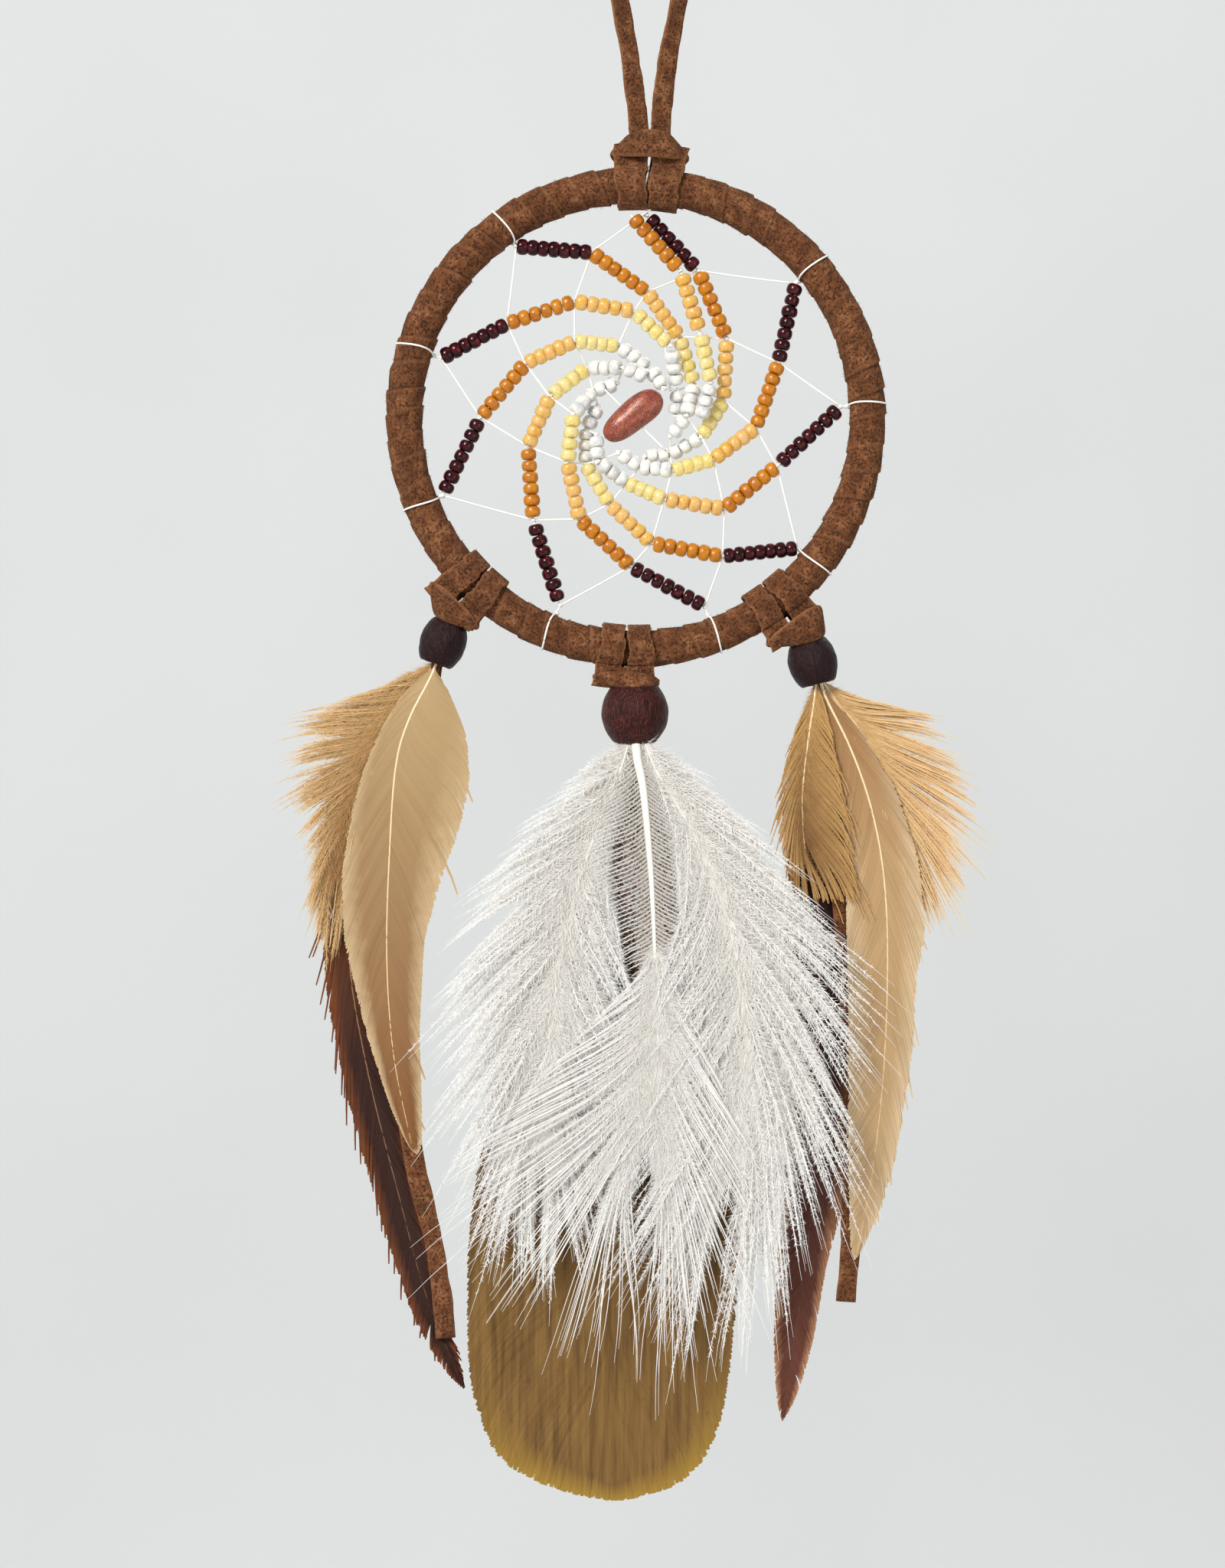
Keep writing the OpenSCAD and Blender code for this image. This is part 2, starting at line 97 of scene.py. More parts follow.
# ---------------------------------------------------------------- meshes
class Shape:
    """Collects closed forms with values on their points, and becomes one mesh."""

    VALUES = ("across", "along", "tint")

    def __init__(self):
        self.points, self.faces, self.groups, self.total = [], [], [], 0
        self.values = {name: [] for name in self.VALUES}

    def add(self, points, faces, group=0, **values):
        """faces is a list of arrays; each array's rows have the same number of corners."""
        points = np.asarray(points, float).reshape(-1, 3)
        about = points - points.mean(0)
        volume = 0.0
        for rows in faces:
            first = about[rows[:, 0]]
            for k in range(1, rows.shape[1] - 1):
                wedge = np.cross(about[rows[:, k]], about[rows[:, k + 1]])
                volume += np.einsum("ij,ij->", first, wedge)
        for rows in faces:
            turned = rows[:, ::-1] if volume < 0 else rows
            self.faces.append(turned + self.total)
            self.groups.append(np.full(len(rows), group))
        self.points.append(points)
        for name in self.VALUES:
            value = np.asarray(values.get(name, 0.0), float)
            value = value.ravel() if value.ndim else value
            self.values[name].append(np.broadcast_to(value, len(points)))
        self.total += len(points)

    def tubes(self, rings, group=0, round_trip=False, caps=True, **values):
        """Many tubes at once: rings has the shape (tubes, rings, corners, 3)."""
        rings = np.asarray(rings, float)
        count, length, corners = rings.shape[:3]
        ring = np.arange(length if round_trip else length - 1)[:, None] * corners
        here = (ring + np.arange(corners)).ravel()
        beside = (ring + (np.arange(corners) + 1) % corners).ravel()
        whole = length * corners
        quads = np.stack([here, beside, (beside + corners) % whole, (here + corners) % whole], 1)
        offset = (np.arange(count) * whole)[:, None, None]
        faces = [(quads + offset).reshape(-1, 4)]
        if caps and not round_trip:
            end = np.stack([np.arange(corners)[::-1], whole - corners + np.arange(corners)])
            faces.append((end + offset).reshape(-1, corners))
        self.add(rings, faces, group, **values)

    def needles(self, base, tip, width, group=0, **values):
        """Straight thin spikes on three-cornered bases, each with one flat face to the front."""
        along = unit(tip - base)
        side = unit(np.cross(along, Y_AXIS) + 1e-9)
        depth = Y_AXIS - along * along[:, 1:2]
        turned = np.array([-0.5, 0.5, 0.0])[:, None, None] * side
        corners = base + (turned + np.array([0, 0, 0.45])[:, None, None] * depth) * width[:, None]
        points = np.concatenate([corners, tip[None]]).transpose(1, 0, 2)
        rows = np.array([[0, 1, 3], [1, 2, 3], [2, 0, 3], [0, 2, 1]])
        faces = (rows + 4 * np.arange(len(base))[:, None, None]).reshape(-1, 3)
        values = {k: np.repeat(v, 4) if np.ndim(v) else v for k, v in values.items()}
        self.add(points, [faces], group, **values)

    def make(self, name, *materials, smooth_from=0):
        points = np.concatenate(self.points).astype(np.float32)
        corners = np.concatenate([rows.ravel() for rows in self.faces]).astype(np.int32)
        sizes = np.concatenate([np.full(len(rows), rows.shape[1]) for rows in self.faces])
        starts = np.concatenate([[0], np.cumsum(sizes)[:-1]]).astype(np.int32)
        mesh = bpy.data.meshes.new(name)
        mesh.vertices.add(len(points))
        mesh.vertices.foreach_set("co", points.ravel())
        mesh.loops.add(len(corners))
        mesh.loops.foreach_set("vertex_index", corners)
        mesh.polygons.add(len(starts))
        mesh.polygons.foreach_set("loop_start", starts)
        for painted in materials:
            mesh.materials.append(painted)
        mesh.polygons.foreach_set("material_index", np.concatenate(self.groups).astype(np.int32))
        for key, parts in self.values.items():
            attribute = mesh.attributes.new(key, "FLOAT", "POINT")
            attribute.data.foreach_set("value", np.concatenate(parts).astype(np.float32))
        mesh.update(calc_edges=True)
        smooth = np.concatenate(self.groups) >= smooth_from
        mesh.polygons.foreach_set("use_smooth", smooth)
        made = bpy.data.objects.new(name, mesh)
        bpy.context.scene.collection.objects.link(made)
        return made


def square_to(along):
    """Two unit vectors square to each direction and to each other."""
    helper = np.where(np.abs(along[..., 2:]) < 0.8, [0.0, 0.0, 1.0], [1.0, 0.0, 0.0])
    side = unit(np.cross(along, helper))
    return side, np.cross(along, side)


def tangents(path):
    return unit(np.gradient(path, axis=-2))


def run_along(path):
    """The length from a path's start to each of its points."""
    return np.concatenate([[0], np.cumsum(np.linalg.norm(np.diff(path, axis=0), axis=1))])


def around(count):
    """Angles evenly spaced round a circle."""
    return np.arange(count) * 2 * np.pi / count


def circle(angles, x, y):
    """Points of a circle or an oval whose half axes are x and y."""
    return np.cos(angles)[:, None] * x + np.sin(angles)[:, None] * y


def smooth_route(route, steps):
    """The same curve through a route's points that the CAD model uses."""
    r = np.asarray(route, float)
    made = []
    for i in range(len(r) - 1):
        p0, p1, p2, p3 = r[max(i - 1, 0)], r[i], r[i + 1], r[min(i + 2, len(r) - 1)]
        for t in np.arange(steps) / steps:
            made.append(0.5 * (2 * p1 + (p2 - p0) * t + (2 * p0 - 5 * p1 + 4 * p2 - p3) * t ** 2
                               + (3 * p1 - p0 - 3 * p2 + p3) * t ** 3))
    made.append(r[-1])
    return np.array(made)


def rounded_bar(width, thick, corners=14):
    """A flat bar's outline with round edges: (sideways, deep) for each corner."""
    a = around(corners) + np.pi / corners
    side = np.sign(np.cos(a)) * np.abs(np.cos(a)) ** 0.45 * width / 2
    deep = np.sign(np.sin(a)) * np.abs(np.sin(a)) ** 0.8 * thick / 2
    return side, deep


def thread_rings(path, radius, corners=8):
    side, deep = square_to(tangents(path))
    return path[:, None] + radius * circle(around(corners), side[:, None], deep[:, None])


def wobble(values, seed, size):
    """Smooth noise between -size and size along one value, in millimetres."""
    phases = np.random.default_rng(seed).random(6) * 2 * np.pi
    pitches = [31.0, 17.0, 9.7, 5.9, 3.1, 1.7]
    waves = [np.sin(values * 2 * np.pi / p + q) * p ** 0.5 for p, q in zip(pitches, phases)]
    return sum(waves) * size / 8


# ---------------------------------------------------------------- materials
def srgb(red, green, blue):
    """A colour as seen, 0 to 255, as the shader's linear values."""
    made = []
    for c in (red, green, blue):
        c = c / 255
        made.append(c / 12.92 if c <= 0.04045 else ((c + 0.055) / 1.055) ** 2.4)
    return tuple(made)


class Paint:
    """A material, and short ways to wire its nodes."""

    def __init__(self, name, color, roughness, **constants):
        self.material = bpy.data.materials.new(name)
        self.material.use_nodes = True
        self.tree = self.material.node_tree
        self.shader = self.tree.nodes["Principled BSDF"]
        self.set("Base Color", color)
        self.set("Roughness", roughness)
        for key, value in constants.items():
            self.set(key.replace("_", " "), value)
        self.place = self.tree.nodes.new("ShaderNodeTexCoord").outputs["Object"]

    def wire(self, socket, value):
        """Links an output to a socket, or sets the socket to a plain value."""
        if isinstance(value, bpy.types.NodeSocket):
            self.tree.links.new(value, socket)
        elif isinstance(value, tuple) and socket.type == "RGBA":
            socket.default_value = (*value, 1)
        else:
            socket.default_value = value

    def set(self, socket, value):
        self.wire(self.shader.inputs[socket], value)

    def node(self, kind, **inputs):
        made = self.tree.nodes.new("ShaderNode" + kind)
        for key, value in inputs.items():
            self.wire(made.inputs[key.replace("_", " ")], value)
        return made

    def stretched(self, x, y, z):
        """The place in millimetres, scaled on each axis."""
        return self.node("Mapping", Vector=self.place,
                         Scale=(1000 * x, 1000 * y, 1000 * z)).outputs["Vector"]

    def noise(self, per_mm, detail=3.0, rough=0.5, place=None):
        made = self.node("TexNoise", Vector=place or self.stretched(1, 1, 1),
                         Scale=per_mm, Detail=detail, Roughness=rough)
        return made.outputs["Fac"]

    def cells(self, per_mm, place=None, output="Distance"):
        made = self.node("TexVoronoi", Vector=place or self.stretched(1, 1, 1), Scale=per_mm)
        return made.outputs[output]

    def value(self, name):
        made = self.tree.nodes.new("ShaderNodeAttribute")
        made.attribute_name = name
        return made.outputs["Fac"]

    def ramp(self, fac, *stops):
        """Stops are (position, colour) with a colour as the shader's values or one grey."""
        made = self.node("ValToRGB", Fac=fac)
        elements = made.color_ramp.elements
        while len(elements) < len(stops):
            elements.new(0.5)
        for element, (position, color) in zip(elements, stops):
            element.position = position
            color = color if isinstance(color, tuple) else (color,) * 3
            element.color = (*color, 1)
        return made.outputs["Color"]

    def mix(self, fac, a, b, how="MIX"):
        made = self.tree.nodes.new("ShaderNodeMix")
        made.data_type = "RGBA"
        made.blend_type = how
        for socket, value in zip((made.inputs[0], made.inputs[6], made.inputs[7]), (fac, a, b)):
            self.wire(socket, value)
        return made.outputs[2]

    def over(self, color, fac, share, top):
        """A share of the top colour laid over a colour where fac is high."""
        return self.mix(self.math("MULTIPLY", fac, share), color, top)

    def math(self, how, a, b):
        made = self.tree.nodes.new("ShaderNodeMath")
        made.operation = how
        for socket, value in zip(made.inputs, (a, b)):
            self.wire(socket, value)
        return made.outputs[0]

    def uneven_roughness(self, fac, low, high):
        self.set("Roughness", self.ramp(fac, (0.3, low), (0.7, high)))

    def as_barbs(self, color, darkest, share):
        """Shades each barb by its tint, and lets a share of the light from behind through."""
        shade = self.ramp(self.value("tint"), (0.0, darkest), (1.0, 1.0))
        color = self.mix(1.0, color, shade, "MULTIPLY")
        self.set("Base Color", color)
        thin = self.node("BsdfTranslucent", Color=color)
        both = self.node("MixShader", Fac=share)
        out = self.tree.nodes["Material Output"]
        self.tree.links.new(self.shader.outputs["BSDF"], both.inputs[1])
        self.tree.links.new(thin.outputs["BSDF"], both.inputs[2])
        self.tree.links.new(both.outputs["Shader"], out.inputs["Surface"])
        return self.material

    def bump(self, height, deep_mm, strength=1.0):
        made = self.node("Bump", Height=height, Strength=strength, Distance=deep_mm * MM)
        self.set("Normal", made.outputs["Normal"])


def suede_paint(name, base, dark, light):
    """Split suede, mottled and pored. across is 1 on a cut edge, along is 1 where the suede is darkened
    with painted shade, in the folds between wrap turns.
    """
    p = Paint(name, base, 0.9, Sheen_Weight=0.25, Sheen_Roughness=0.6, Specular_IOR_Level=0.2)
    p.set("Sheen Tint", light)
    mottle = p.noise(0.45, 4, 0.6)
    fine = p.noise(2.0, 5, 0.78)
    color = p.ramp(mottle, (0.34, tuple(0.56 * c for c in base)), (0.52, base), (0.70, light))
    pores = p.ramp(fine, (0.44, 1.0), (0.51, 0.0))
    color = p.over(color, pores, 0.90, dark)
    flecks = p.ramp(p.noise(4.5, 2, 0.6), (0.58, 0.0), (0.70, 1.0))
    color = p.over(color, flecks, 0.5, light)
    color = p.over(color, p.value("across"), 0.7, light)
    # painted shade: along darkens the suede in the folds between the wrap's turns
    color = p.mix(p.value("along"), color, dark)
    p.set("Base Color", color)
    p.bump(p.math("ADD", fine, p.math("MULTIPLY", p.noise(6.0, 3, 0.7), 0.6)), 0.42, 1.0)
    return p.material


def thread_paint():
    p = Paint("waxed_thread", srgb(238, 236, 228), 0.45, Sheen_Weight=0.2)
    strands = p.noise(6.0, 2, 0.5)
    p.set("Base Color", p.ramp(strands, (0.3, srgb(222, 218, 206)), (0.65, srgb(248, 247, 243))))
    p.bump(strands, 0.05, 0.5)
    return p.material


def frosted_glass(name, base, deep, pale, clear):
    """Frosted seed-bead glass; clear is how much light it lets through."""
    p = Paint(name, base, 0.3, IOR=1.45, Transmission_Weight=clear, Coat_Weight=0.12,
              Coat_Roughness=0.12)
    cloud = p.noise(0.8, 3, 0.55)
    color = p.ramp(cloud, (0.32, deep), (0.5, base), (0.72, pale))
    p.set("Base Color", p.over(color, p.value("tint"), 0.5, pale))
    p.uneven_roughness(p.noise(4, 2, 0.5), 0.24, 0.42)
    p.bump(p.noise(6, 3, 0.6), 0.03, 0.35)
    return p.material


def garnet_glass():
    p = Paint("garnet_glass", srgb(46, 8, 14), 0.10, IOR=1.4, Specular_IOR_Level=0.35)
    cloud = p.noise(0.9, 2, 0.5)
    color = p.ramp(cloud, (0.3, srgb(26, 5, 8)), (0.55, srgb(50, 9, 15)), (0.75, srgb(96, 20, 26)))
    p.set("Base Color", color)
    p.uneven_roughness(p.noise(2.5, 2, 0.5), 0.06, 0.18)
    return p.material


def pearl_glass():
    p = Paint("pearl_glass", srgb(216, 215, 211), 0.12, IOR=1.6, Coat_Weight=1.0,
              Coat_Roughness=0.04, Sheen_Weight=0.1)
    p.set("Subsurface Weight", 0.1)
    p.set("Subsurface Radius", (0.9, 0.8, 0.7))
    p.set("Subsurface Scale", 0.0006)
    color = p.ramp(p.noise(0.7, 3, 0.5), (0.3, srgb(190, 190, 191)), (0.5, srgb(217, 216, 211)),
                   (0.72, srgb(234, 228, 215)))
    p.set("Base Color", color)
    p.uneven_roughness(p.noise(3, 2, 0.5), 0.06, 0.18)
    return p.material


def goldstone_paint():
    """Reddish glass full of copper flecks."""
    p = Paint("goldstone", srgb(140, 62, 44), 0.4, IOR=1.5, Coat_Weight=0.25, Coat_Roughness=0.25)
    body = p.ramp(p.noise(0.5, 3, 0.6), (0.3, srgb(86, 28, 20)), (0.5, srgb(122, 48, 34)),
                  (0.7, srgb(152, 72, 50)))
    flecks = p.ramp(p.cells(8.5, output="Color"), (0.70, 0.0), (0.76, 1.0))
    color = p.over(body, flecks, 0.55, srgb(226, 146, 100))
    p.set("Base Color", color)
    p.set("Metallic", p.math("MULTIPLY", flecks, 0.6))
    p.uneven_roughness(p.noise(4, 2, 0.5), 0.34, 0.5)
    p.bump(p.cells(5.5), 0.03, 0.4)
    return p.material


def dark_wood_paint(name, dark, red):
    """Stained wood with fine grain along the bead."""
    p = Paint(name, dark, 0.42, Specular_IOR_Level=0.16)
    grain = p.noise(1.0, 5, 0.65, p.stretched(4.0, 4.0, 0.35))
    color = p.ramp(grain, (0.30, tuple(0.5 * c for c in dark)), (0.48, dark), (0.70, red))
    scars = p.ramp(p.noise(0.9, 3, 0.6), (0.62, 0.0), (0.72, 1.0))
    p.set("Base Color", p.over(color, scars, 0.35, red))
    p.uneven_roughness(grain, 0.5, 0.3)
    p.bump(p.math("ADD", grain, p.math("MULTIPLY", p.noise(1.6, 4, 0.6), 1.2)), 0.25, 0.8)
    return p.material


def metal_paint():
    p = Paint("drawn_wire", srgb(180, 180, 178), 0.35, Metallic=1.0)
    p.uneven_roughness(p.noise(2.0, 3, 0.5), 0.25, 0.5)
    return p.material


def quill_paint(name, root, end):
    p = Paint(name, root, 0.35, Coat_Weight=0.2)
    color = p.ramp(p.value("along"), (0.0, root), (1.0, end))
    streak = p.noise(1.0, 3, 0.5, p.stretched(5.0, 5.0, 0.4))
    p.set("Base Color", p.mix(p.ramp(streak, (0.4, 0.0), (0.7, 0.35)), color, end))
    p.bump(streak, 0.04, 0.5)
    return p.material


def barb_paint(name, heart, edge, top=None, sheen=0.2, spread=0.12, rough=0.62, through=0.35):
    """Barbs: heart colour by the rachis, edge colour at the tips, top colour by the quill."""
    p = Paint(name, heart[1], rough, Sheen_Weight=sheen, Sheen_Roughness=0.4,
              Specular_IOR_Level=0.35)
    from_heart = p.math("ADD", p.value("across"), p.math("MULTIPLY", p.math("SUBTRACT",
                        p.noise(0.35, 3, 0.6), 0.5), 0.35))
    inner = p.ramp(p.value("along"), (heart[0], heart[1]), (heart[2], heart[3]))
    color = p.mix(p.ramp(from_heart, (edge[0], 0.0), (edge[1], 1.0)), inner, edge[2])
    if top:
        color = p.mix(p.ramp(p.value("along"), (top[0], 1.0), (top[1], 0.0)), color, top[2])
    p.uneven_roughness(p.noise(1.5, 2, 0.5), rough - 0.12, rough + 0.12)
    return p.as_barbs(color, 1.0 - spread * 2, through)


def olive_paint():
    """A closed vane with lengthwise streaks and dark flecks, gold at its lower edge."""
    p = Paint("olive_barbs", srgb(134, 97, 50), 0.6, Sheen_Weight=0.12, Specular_IOR_Level=0.3)
    streaks = p.noise(1.0, 3, 0.6, p.stretched(0.9, 0.9, 0.05))
    color = p.ramp(streaks, (0.34, srgb(100, 70, 30)), (0.50, srgb(124, 90, 42)),
                   (0.66, srgb(138, 104, 52)))
    low_down = p.ramp(p.value("along"), (0.76, 0.0), (0.97, 1.0))
    at_edge = p.ramp(p.value("across"), (0.84, 0.0), (1.0, 1.0))
    color = p.over(color, low_down, at_edge, srgb(166, 130, 48))
    flecks = p.ramp(p.noise(0.8, 4, 0.7, p.stretched(1.5, 1.5, 0.8)), (0.64, 0.0), (0.70, 1.0))
    color = p.over(color, flecks, 0.5, srgb(84, 54, 22))
    p.uneven_roughness(streaks, 0.5, 0.7)
    return p.as_barbs(color, 0.88, 0.25)


SUEDE = suede_paint("suede_lace", srgb(124, 75, 45), srgb(40, 20, 12), srgb(162, 110, 72))
WRAP_SUEDE = suede_paint("suede_wrap", srgb(124, 74, 43), srgb(38, 20, 12), srgb(162, 110, 72))
THREAD = thread_paint()

# ---------------------------------------------------------------- camera
LENS = 70.0
SENSOR = 36.0
PHOTO_HIGH = 280.5 * MM          # height of what the photograph shows at the hoop's depth
VIEW_FROM = (-4.2, -65.6)        # where the camera looks, sideways and up from the hoop

camera_data = bpy.data.cameras.new("camera")
camera_data.lens = LENS
camera_data.sensor_width = SENSOR
camera_data.clip_start, camera_data.clip_end = 0.05, 50
camera = bpy.data.objects.new("camera", camera_data)
bpy.context.scene.collection.objects.link(camera)
camera.location = from_hoop([VIEW_FROM[0], 0, VIEW_FROM[1]]) - Y_AXIS * PHOTO_HIGH * LENS / SENSOR
camera.rotation_euler = (math.pi / 2, 0, 0)
bpy.context.scene.camera = camera


# ---------------------------------------------------------------- laces and tails
LACE_W, LACE_T = 0.0036, 0.0012
LACE_STEPS = 8                   # curve steps between two points of a lace's route
PINCHED = 0.016                  # the length at a tail's start that its bead squeezes narrow


def lace_frame(route):
    """Each route point's place, its wide direction and its thin direction."""
    place = route[:, :3]
    ahead = tangents(place)
    flat_side = unit(np.cross(Y_AXIS, ahead))
    deep_side = np.cross(ahead, flat_side)
    turn = np.radians(route[:, 3:4])
    wide = np.cos(turn) * flat_side + np.sin(turn) * deep_side
    return place, wide, np.cross(ahead, wide)


def lace_rings(route, seed, width=LACE_W, thick=LACE_T):
    """A strip of suede along a route, with the small unevenness of hand-cut lace."""
    place, wide, thin = lace_frame(route)
    side, deep = rounded_bar(width, thick)
    run = run_along(place) / MM
    grow = 1 + wobble(run, seed, 0.06)[:, None, None]
    shift = (wobble(run, seed + 1, 0.08) * MM)[:, None, None]
    cup = (wobble(run, seed + 2, 0.25))[:, None, None] * 0.25 * thick
    sideways = side[None, :, None] * grow + shift
    bowed = deep[None, :, None] + cup * (2 * side[None, :, None] / width) ** 2
    return place[:, None] + wide[:, None] * sideways + thin[:, None] * bowed, side


NAP_W = 0.06 * MM


def add_fuzz(shape, rings, count, long_mm, seed):
    """Short nap fibres that stand out of a strip's surface."""
    rng = np.random.default_rng(seed)
    i = rng.integers(0, len(rings) - 1, count)
    k = rng.integers(0, rings.shape[1], count)
    share = rng.random((count, 1))
    base = lerp(rings[i, k], rings[i + 1, k], share)
    base = lerp(base, rings[i, (k + 1) % rings.shape[1]], rng.random((count, 1)) * 0.9)
    out = unit(base - rings[i].mean(1))
    out = unit(out + 0.9 * rng.normal(size=(count, 3)))
    long = long_mm * MM * rng.uniform(0.4, 1.0, count)
    shape.needles(base - out * 0.1 * MM, base + out * long[:, None], np.full(count, NAP_W), across=0.35)


def lace_piece(name, route, seed, squeezed=0.0):
    """One lace; squeezed is the length at its start where a bead pinches it narrow."""
    fuzz = 5                         # nap fibres on each millimetre
    path = smooth_route(route, LACE_STEPS)
    rings, side = lace_rings(path, seed)
    if squeezed:
        run = np.linalg.norm(path[:, :3] - path[0, :3], axis=1)
        narrow = lerp(0.42, 1.0, np.clip(run / squeezed, 0, 1) ** 2)[:, None, None]
        rings = path[:, None, :3] + (rings - path[:, None, :3]) * narrow
    shape = Shape()
    cut = np.clip((np.abs(side) / (LACE_W / 2) - 0.86) / 0.14, 0, 1)
    shape.tubes(rings[None], across=np.tile(cut, len(rings)))
    run = run_along(path[:, :3])[-1]
    add_fuzz(shape, rings, int(run / MM * fuzz), 0.5, seed)
    made = shape.make(name, SUEDE)
    return made, path[:, :3], run


def route_m(*points):
    """Route points in millimetres, with the turn in degrees, as metres in the row frame."""
    made = np.array(points, float)
    made[:, :3] = from_hoop(made[:, :3])
    return made


# the hanging loop: up the right strand, over the nail or hook, and down the left one
LOOP_RIGHT = [[1.85, 0, 50.2, 8], [2.3, 0, 56, 12], [3.4, 0, 64, 20],
              [5.3, 0, 75, 34], [7.2, 0, 86, 68], [7.7, 0, 94, 88],
              [6.4, 0, 101.6, 90], [3.4, 0, 106.4, 90]]
LOOP_X = -HOOP[0] / MM           # the loop's middle, sideways from the hoop's centre
LOOP_TOP = [LOOP_X, 0, (-HOOP[2] + LACE_T / 2) / MM, 90]


def make_hanging_loop():
    right = [[LOOP_X + x, y, z, turn] for x, y, z, turn in LOOP_RIGHT]
    left = [[LOOP_X - x, y, z, 180 - turn] for x, y, z, turn in reversed(LOOP_RIGHT)]
    route = route_m(*right, LOOP_TOP, *left)
    made, path, run = lace_piece("hanging_lace", route, 11)
    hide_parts("hanging_loop")
    low = from_hoop([0, 0, 51])
    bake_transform(made)
    tuple(path[0])
    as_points(path)


# each tail: the drop it hangs from, then its route with the end inside the wooden bead first
TAILS = {
    "left_long_tail": ("left", [
        [-35.2, 1.8, -42.2, 0], [-36.6, 1.8, -46.8, 0], [-37.4, 1.8, -52, 0],
        [-40, 1.8, -70, 10], [-42, 1.8, -90, 0], [-42.4, 1.8, -110, -10],
        [-40.2, 1.8, -131, 0], [-35.8, 1.8, -150, 20], [-34.2, 1.8, -165, 10]]),
    "left_short_tail": ("left", [
        [-35.2, 2.8, -42.4, 0], [-36, 4.4, -47.2, 0], [-36.8, 4.4, -56, 0],
        [-39.6, 4.4, -74, -10], [-42.4, 4.4, -92, 0],
        [-44.2, 4.4, -108, 10]]),
    "center_long_tail": ("center", [
        [-0.6, -1.8, -56.8, 0], [-0.9, -2.6, -61.4, 0], [-1.6, -2.6, -75, 0],
        [-3, -2.6, -95, 10], [-4.6, -2.6, -115, 0],
        [-5.2, -2.6, -136, -10]]),
    "center_short_tail": ("center", [
        [1.4, -1.4, -56.8, 0], [2.9, -2.6, -61.6, 0], [4, -2.6, -72, 0],
        [6.2, -2.6, -88, -10], [7.8, -2.6, -104, 0],
        [8.2, -2.6, -118, 10]]),
    "right_long_tail": ("right", [
        [32.2, 1.8, -45.8, 0], [33.1, 2.6, -50.2, 0], [34.2, 2.6, -60, 0],
        [36.8, 2.6, -84, -10], [38.8, 2.6, -110, 0], [39.4, 2.6, -130, 10],
        [38.6, 2.6, -146, 0], [37.8, 2.6, -158.6, 0]]),
    "right_short_tail": ("right", [
        [32.2, 3, -46, 0], [33.4, 5.2, -51, 0], [35.6, 5.2, -66, 0],
        [39, 5.2, -84, 10], [41.6, 5.2, -98, 0], [43, 5.2, -110, -10]]),
}


def joint_at(name):
    found = [j for j in frame["joints"] if j["name"] == name]
    return np.array(found[0]["pos_m"], float)


def hang_from_bead(made, drop):
    """Bakes the piece's place into its mesh; the hinge just under its wooden bead, where the feathers
    sway, is looked up but the piece is not tied to it.
    """
    hinge = joint_at(drop + "_feather_sway")
    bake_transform(made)


def make_tails():
    for i, (node, (drop, route)) in enumerate(TAILS.items()):
        made, path, run = lace_piece(node + "_lace", route_m(*route), 20 + 3 * i, PINCHED)
        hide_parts(node)
        hang_from_bead(made, drop)
        tuple(path[0])
        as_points(path)


make_hanging_loop()
make_tails()


def stand_in(made, slot, body, *replaced):
    """Hides the CAD nodes that a piece stands for and hangs the piece on the body it rides; slot is not
    used.
    """
    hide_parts(*replaced)
    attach(made, body)


